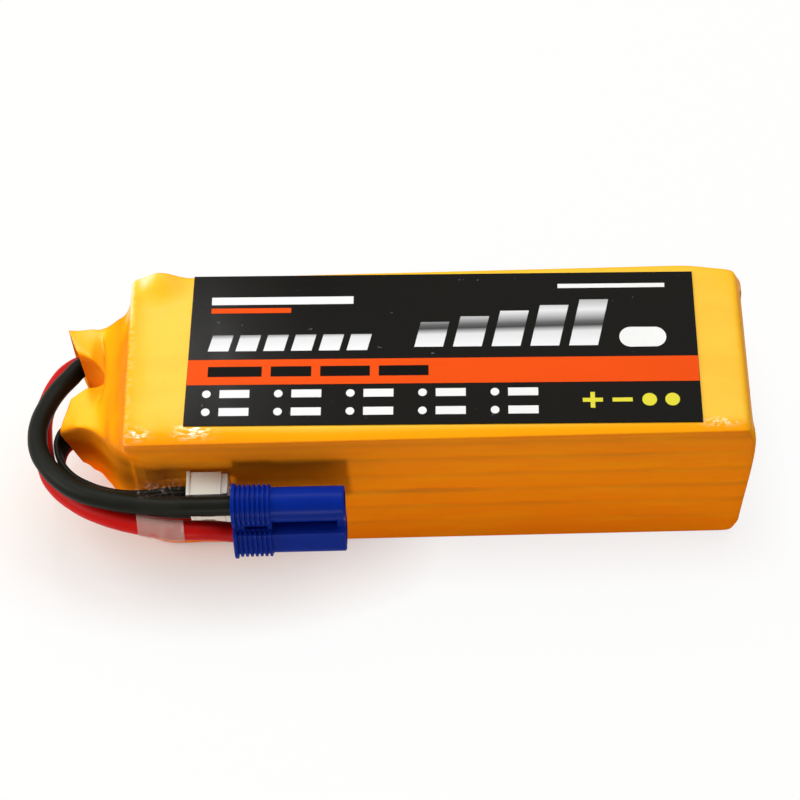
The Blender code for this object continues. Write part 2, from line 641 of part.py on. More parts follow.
def build_tape(routes):
    """Strip of clear tape over both main leads."""
    clear = make_material("clear_tape", (0.80, 0.76, 0.72), 0.25)
    near = CORNER.x + TAPE_START_X
    places = [near + TAPE_WIDTH * step / TAPE_STEPS for step in range(TAPE_STEPS + 1)]
    sections = [tape_section(x, routes) for x in places]
    bm = bmesh.new()
    verts = [bm.verts.new(point) for point in sections[0]]
    edges = [bm.edges.new(pair) for pair in zip(verts, verts[1:])]
    for here, there in zip(sections, sections[1:]):
        swept = bmesh.ops.extrude_edge_only(bm, edges=edges)["geom"]
        edges = [item for item in swept if isinstance(item, bmesh.types.BMEdge)]
        for vert in (item for item in swept if isinstance(item, bmesh.types.BMVert)):
            nearest = min(range(len(here)), key=lambda index: (here[index] - vert.co).length)
            vert.co = there[nearest]
    tape = add_node("clear_tape", mesh_from(bm, "clear_tape"), clear)
    wall = tape.modifiers.new("thickness", "SOLIDIFY")
    wall.thickness = TAPE_THICKNESS
    wall.offset = 0.0
    wall.use_even_offset = True


clear_scene()
PARTS = make_collection("lipo_battery_pack")
CUTTERS = make_collection("cutters")
PACK = bpy.data.objects.new("pack_frame", None)
PARTS.objects.link(PACK)
build_cells()
build_lead_end()
build_end_pad()
build_sleeve()
build_label()
LEAD_ROUTES = build_main_leads()
build_main_plug()
build_balance_plug()
build_tape(LEAD_ROUTES)
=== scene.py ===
"""Looks of a lithium polymer battery pack: film, label, leads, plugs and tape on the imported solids.

Laid out as an add-on: the panel's settings hold the sizes and colours, and one operator makes each
group of pieces. Lengths are in metres, in the frame of the solids, unless a name ends in _MM.
"""
import json
import math

import bmesh
import bpy
from bpy.props import FloatProperty, FloatVectorProperty, IntProperty, PointerProperty
from mathutils import Matrix, Vector, noise


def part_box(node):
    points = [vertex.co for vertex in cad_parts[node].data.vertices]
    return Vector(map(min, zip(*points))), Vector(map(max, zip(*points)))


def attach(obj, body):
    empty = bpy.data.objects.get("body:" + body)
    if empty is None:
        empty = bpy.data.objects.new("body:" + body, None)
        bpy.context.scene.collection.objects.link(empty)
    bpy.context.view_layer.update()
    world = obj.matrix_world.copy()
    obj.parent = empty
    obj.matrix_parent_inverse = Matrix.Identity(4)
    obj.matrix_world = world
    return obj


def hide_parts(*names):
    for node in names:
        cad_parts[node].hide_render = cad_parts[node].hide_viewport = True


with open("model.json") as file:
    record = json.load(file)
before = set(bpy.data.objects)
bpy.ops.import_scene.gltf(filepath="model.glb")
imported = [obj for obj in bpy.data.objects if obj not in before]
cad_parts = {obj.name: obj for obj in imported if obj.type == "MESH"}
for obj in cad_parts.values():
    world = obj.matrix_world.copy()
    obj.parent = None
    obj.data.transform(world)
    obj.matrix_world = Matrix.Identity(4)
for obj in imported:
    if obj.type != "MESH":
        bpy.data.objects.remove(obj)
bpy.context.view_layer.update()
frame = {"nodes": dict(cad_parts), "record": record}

bl_info = {
    "name": "Lipo battery pack",
    "version": (1, 0, 0),
    "blender": (4, 5, 0),
    "location": "3D View > Sidebar > Pack",
    "description": "Dresses the solids of a battery pack with film, label, leads, plugs and tape",
    "category": "Object",
}

MM = 0.001
SLEEVE_LOW, SLEEVE_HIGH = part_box("shrink_film_sleeve")
HALF_LENGTH, HALF_WIDTH, HEIGHT = SLEEVE_HIGH
CORNER = Vector((-HALF_LENGTH, -HALF_WIDTH, 0.0))
LABEL_LOW, LABEL_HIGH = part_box("label")
CELL_TOPS = [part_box(f"cell_{number}")[1].z for number in range(1, 6)]
CELL_BOTTOMS = [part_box(f"cell_{number}")[0].z for number in range(2, 7)]
LAYER_LINES = [(top + bottom) / 2 for top, bottom in zip(CELL_TOPS, CELL_BOTTOMS)]
LAYER_WEIGHTS = (0.45, 0.65, 1.0, 0.45, 0.75)
BALANCE_LOW, BALANCE_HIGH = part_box("balance_plug_housing")
TAPE_LOW, TAPE_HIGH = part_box("clear_tape")
BOARD_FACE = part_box("tab_board")[0].x

# Lead routes, in millimetres from the corner where the front face meets the lead end.
BLACK_ROUTE_MM = [
    (-5.0, 34.0, 24.7), (-10.0, 35.2, 25.6), (-13.8, 34.0, 25.5), (-16.6, 30.7, 25.7),
    (-19.2, 26.5, 26.6), (-21.2, 21.4, 27.7), (-22.2, 16.9, 28.7), (-22.2, 12.7, 29.6),
    (-21.3, 8.5, 30.5), (-19.4, 4.8, 31.3), (-15.8, 0.2, 32.3), (-10.9, -3.5, 33.1),
    (-4.0, -6.2, 34.0), (0.6, -7.4, 34.5), (7.3, -8.5, 35.0), (12.9, -8.9, 35.3),
    (19.0, -9.0, 35.3),
]
RED_ROUTE_MM = [
    (-5.0, 38.0, 21.3), (-10.0, 38.1, 20.7), (-14.3, 37.3, 21.1), (-17.8, 34.9, 21.5),
    (-20.2, 31.3, 21.7), (-21.8, 26.7, 22.0), (-22.6, 21.6, 22.8), (-22.3, 16.6, 23.6),
    (-21.6, 12.2, 24.2), (-20.4, 7.6, 25.0), (-18.2, 2.8, 26.0), (-12.8, -2.9, 27.4),
    (-6.6, -6.9, 28.6), (2.2, -10.2, 29.5), (9.5, -11.9, 30.0), (14.5, -12.1, 29.9),
    (19.0, -11.7, 28.8),
]
# The balance leads run as an upright ribbon: each point adds the pitch between leads.
BALANCE_ROUTE_MM = [
    (-7.0, 17.2, 23.8, 1.5), (-13.5, 16.9, 23.6, 1.5), (-16.3, 15.9, 23.7, 1.5),
    (-17.75, 13.2, 23.9, 1.5), (-17.6, 9.6, 24.2, 1.5), (-16.2, 6.2, 24.5, 1.5),
    (-13.6, 2.9, 24.9, 1.5), (-10.0, 0.4, 25.3, 1.5), (-5.5, -1.6, 25.6, 1.55),
    (-0.5, -2.8, 25.7, 1.7), (2.3, -3.1, 25.7, 1.85), (5.0, -3.3, 25.7, 2.05),
    (9.5, -3.4, 25.65, 2.4),
]
BLACK_PAD_MM = (32.2, 23.6)
RED_PAD_MM = (37.5, 23.2)
BALANCE_PAD_MM = (17.6, 24.0, 1.5)
MAIN_PLUG_MM = (23.4, -9.0, 35.3)
BALANCE_PLUG_MM = (13.4, -3.35, 25.65)
WAYS = 7
WAY_PITCH = 0.0025
LEAD_SEAT = 0.0030
BALANCE_SEAT = 0.0018
LEAD_STANDOFF = 0.0008

# Main plug: its lie, its length, the webs between its barrels, its flange and its squared lower barrel.
PLUG_PITCH = 0.0081
PLUG_TILT = math.radians(-19.0)
PLUG_DROP = PLUG_PITCH * Vector((0.0, math.sin(PLUG_TILT), -math.cos(PLUG_TILT)))
PLUG_LENGTH = 0.0249
PLUG_WEB = 0.0014
BRIDGE_WEB = 0.0048
BRIDGE_LENGTH = 0.0018
GRIP_WEB = 0.0058
FLANGE_WEB = 0.0062
FLANGE_DIAMETER = 0.0098
FLANGE_LENGTH = 0.0010
FLANGE_CHAMFER = 0.00015
KEY_SQUARE = 0.52
BARREL_SIDES = 48
# Least way along the plug between two rings that make a step.
RING_STEP = 0.0001
# Ribs of the grip: shares of the pitch, and how deep the outline lies there.
RIB_DEPTH = 0.0005
RIB_SHAPE = ((0.12, RIB_DEPTH), (0.28, 0.0), (0.74, 0.0), (0.90, RIB_DEPTH))
# Chamfer of the mouth: along the plug, off its diameter and off its web.
MOUTH_CHAMFER = (0.0003, 0.0005, 0.0004)
# Holes from the front and the rear, by their ends along the plug, and slots in the grip's sides.
BORE_ENDS = (0.0030, 0.0260)
ENTRY_ENDS = (-0.0010, 0.0034)
ENTRY_RADIUS = 0.0024
SLOT_ALONG = 0.0052
SLOT_ACROSS = 0.0029
SLOT_SIZE = (0.0050, 0.0012, 0.0009)
# Turned sockets: places along the plug and radii, over the outside and back down the bore.
SOCKET_PROFILE = [
    (0.0034, 0.0026), (0.0037, 0.0029), (0.0172, 0.0029), (0.0174, 0.00275), (0.0180, 0.00275),
    (0.0182, 0.0029), (0.0197, 0.0029), (0.0199, 0.00275), (0.0199, 0.0026), (0.0196, 0.0025),
    (0.0104, 0.0025),
]
# Balance plug: its flange, its nose, how far the flange stands out and the nose lies in, and its edges.
BALANCE_FLANGE = 0.0008
BALANCE_NOSE = 0.0014
BALANCE_PROUD = 0.0002
BALANCE_STEP = 0.00035
BALANCE_EDGE = 0.00018

# Film at the lead end, from the same corner. Each ring has four corners, in this order:
# front top, back top, back bottom and front bottom.
SHOULDER_MM = [
    [(-2.8, 3.6, 41.0), (-3.2, 40.8, 37.6), (-3.6, 43.6, 5.0), (-3.4, 4.0, 4.5)],
    [(-7.6, 10.6, 36.6), (-8.4, 39.6, 34.6), (-8.0, 43.5, 10.5), (-8.2, 11.0, 11.0)],
]
SPLIT_TOP_MM = (-5.0, 26.4, 31.0)
SPLIT_BOTTOM_MM = (-6.5, 25.6, 11.0)
MAIN_NECK_MM = [
    [(-10.6, 30.4, 36.2), (-11.5, 38.0, 35.2), (-12.2, 42.8, 11.5), (-10.2, 28.4, 11.5)],
    [(-13.0, 30.6, 37.4), (-15.6, 37.6, 37.0), (-17.4, 42.6, 12.0), (-12.0, 29.6, 12.4)],
]
BALANCE_NECK_MM = [
    [(-11.8, 12.2, 35.4), (-11.0, 22.4, 35.6), (-10.8, 22.6, 12.6), (-10.6, 12.0, 12.8)],
    [(-16.8, 12.0, 33.0), (-14.0, 19.8, 35.2), (-13.4, 21.6, 15.4), (-13.0, 12.2, 17.2)],
]
# Faces of the split end lie at least this far out from the lead end.
NECK_ROOT = 0.0062
# Loops across the pack, as shares of its half length from the middle.
CROSS_LOOPS = (-0.95, -0.88, -0.75, -0.5, -0.25, 0.0, 0.25, 0.5, 0.75)
# Spots of drawn, glossy film on top: from the lead end, from the front, and their two half widths.
GLOSS_SPOTS = (
    (0.0032, 0.0029, 0.0020, 0.0014), (0.0155, 0.0035, 0.0034, 0.0018), (0.1310, 0.0027, 0.0036, 0.0009),
)
# Height of the label's print over which its shading like polished metal runs.
CHROME_HEIGHT = 0.0125
# Tape: heights on the front face at which it starts, leaves, comes back and ends.
TAPE_TOP = 0.0425
TAPE_LEAVES = 0.0395
TAPE_RETURNS = 0.0120
TAPE_BOTTOM = 0.0060
# Its distances from the leads and the face, the height of its creases and the points of its grid.
TAPE_CLEAR = 0.0003
TAPE_LIFT = 0.0002
TAPE_CREASE = 0.00035
TAPE_COLUMNS = 29
TAPE_ROWS = 121

# Lamps, by the setting that holds their power: name, place and size.
LAMPS = {
    "key": ("back_left_softbox", (-0.42, 0.30, 0.62), (0.55, 0.60)),
    "glint": ("glint_lamp", (-0.135, 0.360, 0.62), (0.06, 0.06)),
    "top": ("overhead_softbox", (0.20, 0.26, 0.72), (0.70, 0.46)),
    "fill": ("front_softbox", (-0.05, -0.58, 0.08), (0.05, 0.14)),
    "left": ("left_softbox", (-0.34, -0.04, 0.18), (0.16, 0.16)),
}
# Floor: scale of the oval that keeps shadow. Then two distances with the shares of white there, from
# the middle of that oval and from the pack's foot.
FLOOR_OVAL = (0.55, 1.0, 1.0)
OVAL_WHITE = (0.006, 0.040, 0.06, 0.96)
FOOT_WHITE = (0.0, 0.014, 0.80, 0.96)
FLOOR_SIZE = 8.0
FLOOR_DROP = 0.0002

# Inner pieces, by material slot: two colours, size of their pattern, roughness, relief and metal.
FINISHES = {
    "cell_pouch": ((0.55, 0.57, 0.60), (0.70, 0.72, 0.74), 0.02, (0.25, 0.45), 0.00003, 0.7),
    "cell_pad": ((0.78, 0.76, 0.68), (0.86, 0.84, 0.76), 0.01, (0.7, 0.9), 0.00002, 0.0),
    "guard_sheet": ((0.14, 0.28, 0.18), (0.20, 0.34, 0.22), 0.004, (0.4, 0.6), 0.00001, 0.0),
    "tab_aluminium": ((0.76, 0.77, 0.79), (0.86, 0.87, 0.88), 0.003, (0.2, 0.4), 0.00001, 1.0),
    "tab_nickel": ((0.56, 0.54, 0.50), (0.68, 0.66, 0.62), 0.003, (0.2, 0.4), 0.00001, 1.0),
    "board_laminate": ((0.08, 0.20, 0.11), (0.12, 0.28, 0.16), 0.004, (0.4, 0.6), 0.00001, 0.0),
    "insulator_card": ((0.64, 0.60, 0.52), (0.74, 0.70, 0.62), 0.003, (0.8, 0.95), 0.00003, 0.0),
    "end_foam": ((0.020, 0.020, 0.021), (0.05, 0.05, 0.052), 0.0012, (0.8, 0.95), 0.0002, 0.0),
    "contact_tin": ((0.66, 0.65, 0.63), (0.76, 0.75, 0.73), 0.001, (0.25, 0.4), 0.000005, 1.0),
}


def length(name, text, default):
    """A length setting."""
    return FloatProperty(name=name, description=text, default=default, unit="LENGTH", precision=5)


def degrees(name, text, default):
    """An angle setting, whose default is in degrees."""
    return FloatProperty(name=name, description=text, default=math.radians(default), unit="ROTATION")


def factor(name, text, default):
    """A setting from 0 to 1."""
    return FloatProperty(name=name, description=text, default=default, min=0.0, max=1.0, subtype="FACTOR")


def watts(name, text, default):
    """Power of a lamp in watts."""
    return FloatProperty(name=name, description=text, default=default, min=0.0, unit="POWER")


def spot(name, text, default):
    """A place in the frame of the solids."""
    return FloatVectorProperty(name=name, description=text, default=default, subtype="TRANSLATION")


def colour(name, text, default):
    """A colour setting, in linear values."""
    return FloatVectorProperty(name=name, description=text, default=default, subtype="COLOR", min=0, max=1)


class LIPO_PG_film(bpy.types.PropertyGroup):
    """Settings of the shrunk film."""

    thickness: length("Thickness", "Wall of the film", 0.0004)
    fold: length("Fold", "Distance of the loops that round the film's edges", 0.0019)
    tight_fold: length("Tight fold", "The same on top and in front, where the film is drawn tight", 0.0011)
    lead_fold: length("Lead fold", "The same at the lead end, where the film rolls over", 0.0040)
    end_fold: length("End fold", "The same at the far end, where the film is rounder", 0.0050)
    lip: length("Lip", "How far the film reaches over the far end", 0.0022)
    opening_fold: length("Opening fold", "Distance of the loops that keep the far opening's corners", 0.0070)
    groove_depth: length("Groove depth", "How far the film sinks between two cells", 0.00035)
    groove_width: length("Groove width", "Half width of the groove between two cells", 0.0009)
    crinkle: length("Crinkle", "Height of the crinkles near the lead end", 0.00025)
    wrinkle: length("Wrinkle", "Height of the fine wrinkles where the film is glossy", 0.00012)
    corner: length("Corner", "How far the upright front corner is rounded off", 0.0014)
    ear: length("Ear", "Height of the pinched film at the back corner", 0.0017)
    tuck: length("Tuck", "How far the far end's back corner is drawn in", 0.0011)
    bulge: length("Bulge", "How far the far end's film bulges below its top fold", 0.0010)
    # The film has one colour, and these are lit and shaded copies of it: painted light where it faces up, a
    # painted highlight on the necks' crests and at the back of the lead end, painted shade on upright faces,
    # on their upper part, in the seams between the layers, where it turns from top to side, and in hollows
    # and below. The turning colour also tints the random smudges.
    lit: colour("Upward", "Colour of the film where it faces up", (0.97, 0.57, 0.030))
    painted_highlight: colour("Stretched", "Colour of the film where it is stretched at the lead end", (1.0, 0.76, 0.36))
    side: colour("Sideways", "Colour of the film where it stands upright", (0.95, 0.26, 0.005))
    painted_upper_shade: colour("Upper side", "Colour of the upper part of the upright faces", (0.76, 0.240, 0.019))
    # On the film this colour is painted shade in the seams between the layers and under the top fold.
    dust: colour("Dust", "Colour of the seams between the layers", (0.50, 0.17, 0.016))
    turn: colour("Turning", "Colour of the film where it turns from the top to a side", (0.96, 0.41, 0.006))
    deep: colour("Downward", "Colour of the film in its hollows and below", (0.95, 0.135, 0.0005))


class LIPO_PG_label(bpy.types.PropertyGroup):
    """Settings of the printed label."""

    length: length("Length", "Label along the pack", 0.1131)
    width: length("Width", "Label across the pack", 0.0392)
    taper: length("Taper", "How much longer the front edge is than the back edge", 0.0008)
    shift: length("Shift", "How far the label lies behind its solid", 0.0003)
    turn: degrees("Turn", "How far the label lies askew", -1.05)
    ink: length("Ink", "Height of the printed marks", 0.00004)
    ground: colour("Ground", "Ground of the print", (0.0026, 0.0022, 0.0012))
    band: colour("Band", "Colour of the band", (0.88, 0.082, 0.004))
    light: colour("Light marks", "Colour of the light marks", (0.90, 0.90, 0.88))
    accent: colour("Accents", "Colour of the small accents", (0.80, 0.72, 0.05))


class LIPO_PG_leads(bpy.types.PropertyGroup):
    """Settings of the leads."""

    main_diameter: length("Main diameter", "Outer diameter of the heavy leads", 0.0045)
    balance_diameter: length("Balance diameter", "Outer diameter of the thin leads", 0.0014)
    black: colour("Black", "Colour of the black silicone", (0.0042, 0.0045, 0.0026))
    red: colour("Red", "Colour of the red silicone", (0.58, 0.0070, 0.0050))


class LIPO_PG_plugs(bpy.types.PropertyGroup):
    """Settings of the two plugs."""

    barrel: length("Barrel", "Outer diameter of a barrel", 0.0078)
    bore: length("Bore", "Inner diameter of a barrel", 0.0064)
    grip: length("Grip", "Outer diameter of the ribbed grip", 0.0092)
    grip_length: length("Grip length", "Length of the ribbed grip with its flange", 0.0088)
    ribs: IntProperty(name="Ribs", description="Number of ribs on the grip", default=7, min=1)
    blue: colour("Blue", "Colour of the main plug", (0.0016, 0.0172, 0.218))
    white: colour("White", "Colour of the balance plug", (0.72, 0.72, 0.63))
    gold: colour("Gold", "Colour of the sockets", (0.83, 0.58, 0.20))


class LIPO_PG_tape(bpy.types.PropertyGroup):
    """Settings of the clear tape."""

    thickness: length("Thickness", "Wall of the tape", 0.00012)
    haze: factor("Haze", "How milky the tape is over the lower lead", 0.27)
    dust: factor("Dust", "How much dust sticks where the tape bridges to the pack", 0.15)
    tint: colour("Tint", "Colour of the haze", (0.60, 0.47, 0.41))


class LIPO_PG_stage(bpy.types.PropertyGroup):
    """Settings of the camera, the lamps and the floor."""

    target: spot("Target", "Point that the camera looks at", (-0.0087, 0.0020, 0.0235))
    distance: length("Distance", "From the camera to its target", 0.5327)
    azimuth: degrees("Azimuth", "Camera's way round the pack", 2.91)
    elevation: degrees("Elevation", "Camera's height over the horizon", 59.26)
    roll: degrees("Roll", "Camera's turn about its own axis", -3.92)
    lens: FloatProperty(name="Lens", description="Focal length", default=103.5, unit="CAMERA")
    key: watts("Key", "Power of the softbox at the back left", 2.7)
    glint: watts("Glint", "Power of the small lamp behind the pack", 0.4)
    top: watts("Top", "Power of the softbox overhead", 4.2)
    fill: watts("Fill", "Power of the softbox in front", 0.90)
    left: watts("Left", "Power of the softbox at the lead end", 0.55)
    # The floor's tan shows only where it keeps its shadow, as a painted warm bounce from the orange film.
    floor: colour("Floor", "Colour of the floor", (0.88, 0.79, 0.69))
    shadow: spot("Shadow", "Place about which the floor keeps the most shadow", (-0.056, -0.008, 0.0))


class LIPO_PG_pack(bpy.types.PropertyGroup):
    """All settings of the pack."""

    film: PointerProperty(type=LIPO_PG_film)
    label: PointerProperty(type=LIPO_PG_label)
    leads: PointerProperty(type=LIPO_PG_leads)
    plugs: PointerProperty(type=LIPO_PG_plugs)
    tape: PointerProperty(type=LIPO_PG_tape)
    stage: PointerProperty(type=LIPO_PG_stage)


def from_corner(point_mm):
    """Place a point given in millimetres from the corner of the lead end."""
    return CORNER + Vector(point_mm) * MM


def main_route(route_mm, red=False):
    """Points of a heavy lead from its pad on the board into the plug."""
    pad, end = (RED_PAD_MM, PLUG_DROP) if red else (BLACK_PAD_MM, Vector((0.0, 0.0, 0.0)))
    start = from_corner((0.0, *pad))
    start.x = BOARD_FACE - LEAD_STANDOFF
    rear = from_corner(MAIN_PLUG_MM) + end
    return [start, *(from_corner(point) for point in route_mm), rear, rear + Vector((LEAD_SEAT, 0.0, 0.0))]


def balance_route(offset):
    """Points of a thin lead, a number of pitches above or below the middle one."""
    y, z, pitch = BALANCE_PAD_MM
    start = from_corner((0.0, y, z + offset * pitch))
    start.x = BOARD_FACE - LEAD_STANDOFF
    end = from_corner(BALANCE_PLUG_MM) + Vector((BALANCE_SEAT, 0.0, offset * WAY_PITCH))
    return [start, *(from_corner((x, y, z + offset * pitch)) for x, y, z, pitch in BALANCE_ROUTE_MM), end]


def route_at(points, x):
    """Point where a lead's way to its plug passes a place along the pack."""
    for here, there in zip(points[::-1], points[-2::-1]):
        if there.x <= x <= here.x:
            return here.lerp(there, (here.x - x) / (here.x - there.x))
    raise ValueError("the lead does not reach this place")


def arc(centre, radius, start, stop):
    """Points of an arc across the pack, as pairs of Y and Z."""
    angles = [start + (stop - start) * step / 10 for step in range(11)]
    return [(centre.y + radius * math.cos(angle), centre.z + radius * math.sin(angle)) for angle in angles]


def tangent_angle(centre, radius, point, side):
    """Angle at which a line from a point touches a circle."""
    away = Vector((point[0] - centre.y, point[1] - centre.z))
    return math.atan2(away.y, away.x) + side * math.acos(radius / away.length)


def spread(points, count):
    """The same course with its points evenly spaced."""
    ways = [0.0]
    for here, there in zip(points, points[1:]):
        ways.append(ways[-1] + (there - here).length)
    even = []
    for step in range(count):
        way = ways[-1] * step / (count - 1)
        index = max(1, next(number for number, value in enumerate(ways) if value >= way - 1e-9))
        share = (way - ways[index - 1]) / (ways[index] - ways[index - 1])
        even.append(points[index - 1].lerp(points[index], share))
    return even


def deselect_all():
    """Leave edit mode and deselect every object."""
    if bpy.context.mode != "OBJECT":
        bpy.ops.object.mode_set(mode="OBJECT")
    bpy.ops.object.select_all(action="DESELECT")


def start_piece(name, shape, **size):
    """Add a primitive under its own name, with its place in its mesh."""
    deselect_all()
    getattr(bpy.ops.mesh, f"primitive_{shape}_add")(**size)
    piece = bpy.context.object
    piece.name = name
    piece.data.name = name
    bpy.ops.object.transform_apply(location=True, rotation=True, scale=True)
    return piece


def take(piece):
    """Select one object alone and make it active."""
    deselect_all()
    piece.select_set(True)
    bpy.context.view_layer.objects.active = piece


def edit(piece):
    """Open a piece in edit mode, for its faces, with nothing selected."""
    take(piece)
    bpy.ops.object.mode_set(mode="EDIT")
    bpy.ops.mesh.select_mode(type="FACE")
    bpy.ops.mesh.select_all(action="DESELECT")


def select_faces(piece, test):
    """Select the faces that pass a test, and no others."""
    bpy.ops.mesh.select_all(action="DESELECT")
    mesh = bmesh.from_edit_mesh(piece.data)
    mesh.normal_update()
    for face in mesh.faces:
        face.select_set(test(face))
    bmesh.update_edit_mesh(piece.data)


def box_round(points):
    """Lowest and highest corner of the box round some points."""
    return Vector(map(min, zip(*points))), Vector(map(max, zip(*points)))


def fit_selection(piece, low, high):
    """Scale and move the selected points until they fill a box."""
    mesh = bmesh.from_edit_mesh(piece.data)
    now_low, now_high = box_round([vert.co for vert in mesh.verts if vert.select])
    centre = (now_low + now_high) / 2
    spans = zip(high - low, now_high - now_low)
    factors = [new / old if old > 1e-7 else 1.0 for new, old in spans]
    bpy.ops.transform.resize(value=factors, center_override=centre)
    bpy.ops.transform.translate(value=(low + high) / 2 - centre)


def place_ring(piece, corners):
    """Move the four corners of the selected ring: front top, back top, back bottom, front bottom."""
    mesh = bmesh.from_edit_mesh(piece.data)
    ring = sorted((vert for vert in mesh.verts if vert.select), key=lambda vert: vert.co.z)
    below, above = (sorted(pair, key=lambda vert: vert.co.y) for pair in (ring[:2], ring[2:]))
    for vert, place in zip((above[0], above[1], below[1], below[0]), corners):
        vert.co = from_corner(place)
    bmesh.update_edit_mesh(piece.data)


def loft(name, rings):
    """Closed body drawn out from its first ring through all the others, one extrusion for each."""
    piece = start_piece(name, "circle", vertices=len(rings[0]), radius=0.01, fill_type="NGON")
    edit(piece)
    bpy.ops.mesh.select_all(action="SELECT")
    for index, ring in enumerate(rings):
        if index:
            bpy.ops.mesh.extrude_region_move()
        mesh = bmesh.from_edit_mesh(piece.data)
        face = next(face for face in mesh.faces if face.select)
        for vert, place in zip(face.verts, ring):
            vert.co = place
        bmesh.update_edit_mesh(piece.data)
    bpy.ops.mesh.select_all(action="SELECT")
    bpy.ops.mesh.normals_make_consistent(inside=False)
    bpy.ops.object.mode_set(mode="OBJECT")
    return piece


def cut(piece, tool):
    """Take the shape of a tool out of a piece, and remove the tool."""
    modify(piece, "BOOLEAN", operation="DIFFERENCE", object=tool, solver="EXACT")
    bpy.data.objects.remove(tool, do_unlink=True)


def modify(piece, kind, **values):
    """Add a modifier, set it and apply it."""
    take(piece)
    step = piece.modifiers.new(kind.title(), kind)
    for name, value in values.items():
        setattr(step, name, value)
    bpy.ops.object.modifier_apply(modifier=step.name)


def sculpt(piece, move):
    """Move every point of a mesh by a function of its place and normal."""
    normals = [vert.normal.copy() for vert in piece.data.vertices]
    for vert, normal in zip(piece.data.vertices, normals):
        vert.co = move(vert.co.copy(), normal)
    piece.data.update()


def finish_piece(piece, slot, material, *nodes, smooth=35.0):
    """Shade a piece, give it its material, and let it stand for its solids."""
    take(piece)
    if piece.type == "MESH":
        bpy.ops.object.shade_smooth_by_angle(angle=math.radians(smooth))
    piece.data.materials.clear()
    piece.data.materials.append(material)
    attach(piece, "root")
    if nodes:
        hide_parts(*nodes)
    deselect_all()


def ramp(value, low, high):
    """Smooth step from 0 at low to 1 at high."""
    share = min(1.0, max(0.0, (value - low) / (high - low)))
    return share * share * (3 - 2 * share)


def fade(value, low, high):
    """Smooth step from 1 at low to 0 at high."""
    return 1.0 - ramp(value, low, high)


def bell(value, centre, width):
    """Bell curve of height 1."""
    return math.exp(-((value - centre) / width) ** 2)


def feed(socket, value):
    """Link a field to a socket, or set the socket to a plain value."""
    if isinstance(value, bpy.types.NodeSocket):
        socket.id_data.links.new(value, socket)
    else:
        socket.default_value = value


def add_node(owner, kind, inputs=(), **settings):
    """Add a node to a material or a world, set it, and link or set its inputs."""
    node = owner.node_tree.nodes.new(kind)
    for name, value in settings.items():
        setattr(node, name, value)
    for socket, value in dict(inputs).items():
        feed(node.inputs[socket], value)
    return node


def new_material(name, **sockets):
    """Material with a Principled shader, whose uniform values are set on its own sockets."""
    material = bpy.data.materials.new(name)
    material.use_nodes = True
    shader = material.node_tree.nodes["Principled BSDF"]
    for socket, value in sockets.items():
        feed(shader.inputs[socket.replace("_", " ")], value)
    place = add_node(material, "ShaderNodeTexCoord").outputs["Object"]
    return material, shader, place


def attribute(material, name):
    """Field that is noted on the points of a piece."""
    return add_node(material, "ShaderNodeAttribute", attribute_name=name).outputs["Fac"]


def noise_field(material, place, size, detail=3.0, stretch=(1.0, 1.0, 1.0)):
    """Noise of a given feature size in metres, from 0 to 1."""
    mapped = add_node(material, "ShaderNodeMapping", {"Vector": place, "Scale": stretch}).outputs["Vector"]
    field = add_node(material, "ShaderNodeTexNoise", {"Vector": mapped, "Scale": 1 / size, "Detail": detail})
    return field.outputs["Fac"]


def span(owner, field, low=0.0, high=1.0, bottom=0.0, top=1.0):
    """Field that goes from bottom, where another is low, to top, where that is high."""
    node = add_node(owner, "ShaderNodeMapRange", {
        "Value": field, "From Min": low, "From Max": high, "To Min": bottom, "To Max": top})
    return node.outputs["Result"]


def combine(owner, operation, first, second, clamp=False):
    """Field worked out from two fields, or from a field and a number."""
    node = add_node(owner, "ShaderNodeMath", {0: first, 1: second}, operation=operation, use_clamp=clamp)
    return node.outputs["Value"]


def mix_colours(material, field, first, second):
    """Colour that goes from one colour to another along a field."""
    mix = add_node(material, "ShaderNodeMix", {"Factor": field}, data_type="RGBA")
    ends = [socket for socket in mix.inputs if socket.type == "RGBA"]
    for socket, color in zip(ends, (first, second)):
        feed(socket, color if isinstance(color, bpy.types.NodeSocket) else (*color[:3], 1.0))
    return next(socket for socket in mix.outputs if socket.type == "RGBA")


def colour_ramp(material, field, stops):
    """Colour that follows a field through several stops."""
    node = add_node(material, "ShaderNodeValToRGB", {"Fac": field})
    band = node.color_ramp.elements
    band[0].position, band[0].color = stops[0][0], (*stops[0][1], 1.0)
    band[1].position, band[1].color = stops[-1][0], (*stops[-1][1], 1.0)
    for place, color in stops[1:-1]:
        band.new(place).color = (*color, 1.0)
    return node.outputs["Color"]


def vary_colour(material, shader, field, first, second):
    """Drive the base colour between two colours by a field."""
    feed(shader.inputs["Base Color"], mix_colours(material, field, first, second))


def vary_roughness(material, shader, field, low, high):
    """Drive the roughness between two values by a field."""
    feed(shader.inputs["Roughness"], span(material, field, bottom=low, top=high))


def add_relief(material, shader, field, height):
    """Drive the normal by a field as a relief of a height in metres."""
    bump = add_node(material, "ShaderNodeBump", {"Height": field, "Distance": height, "Strength": 1.0})
    feed(shader.inputs["Normal"], bump.outputs["Normal"])


def varied(name, first, second, size, rough, relief, **sockets):
    """Material whose colour, roughness and relief follow noise of one feature size."""
    material, shader, place = new_material(name, **sockets)
    field = noise_field(material, place, size, 4.0)
    vary_colour(material, shader, field, first, second)
    vary_roughness(material, shader, field, *rough)
    if relief:
        add_relief(material, shader, noise_field(material, place, size / 3), relief)
    return material


def shaded(color, share):
    """A colour made darker or lighter by a share."""
    return tuple(min(1.0, value * share) for value in color[:3])


def seen_directly(owner):
    """Field that is 1 where the camera sees a surface, also in metal or through clear plastic."""
    path = add_node(owner, "ShaderNodeLightPath").outputs
    mirrored = combine(owner, "MAXIMUM", path["Is Camera Ray"], path["Is Glossy Ray"])
    return combine(owner, "MAXIMUM", mirrored, path["Is Transmission Ray"])


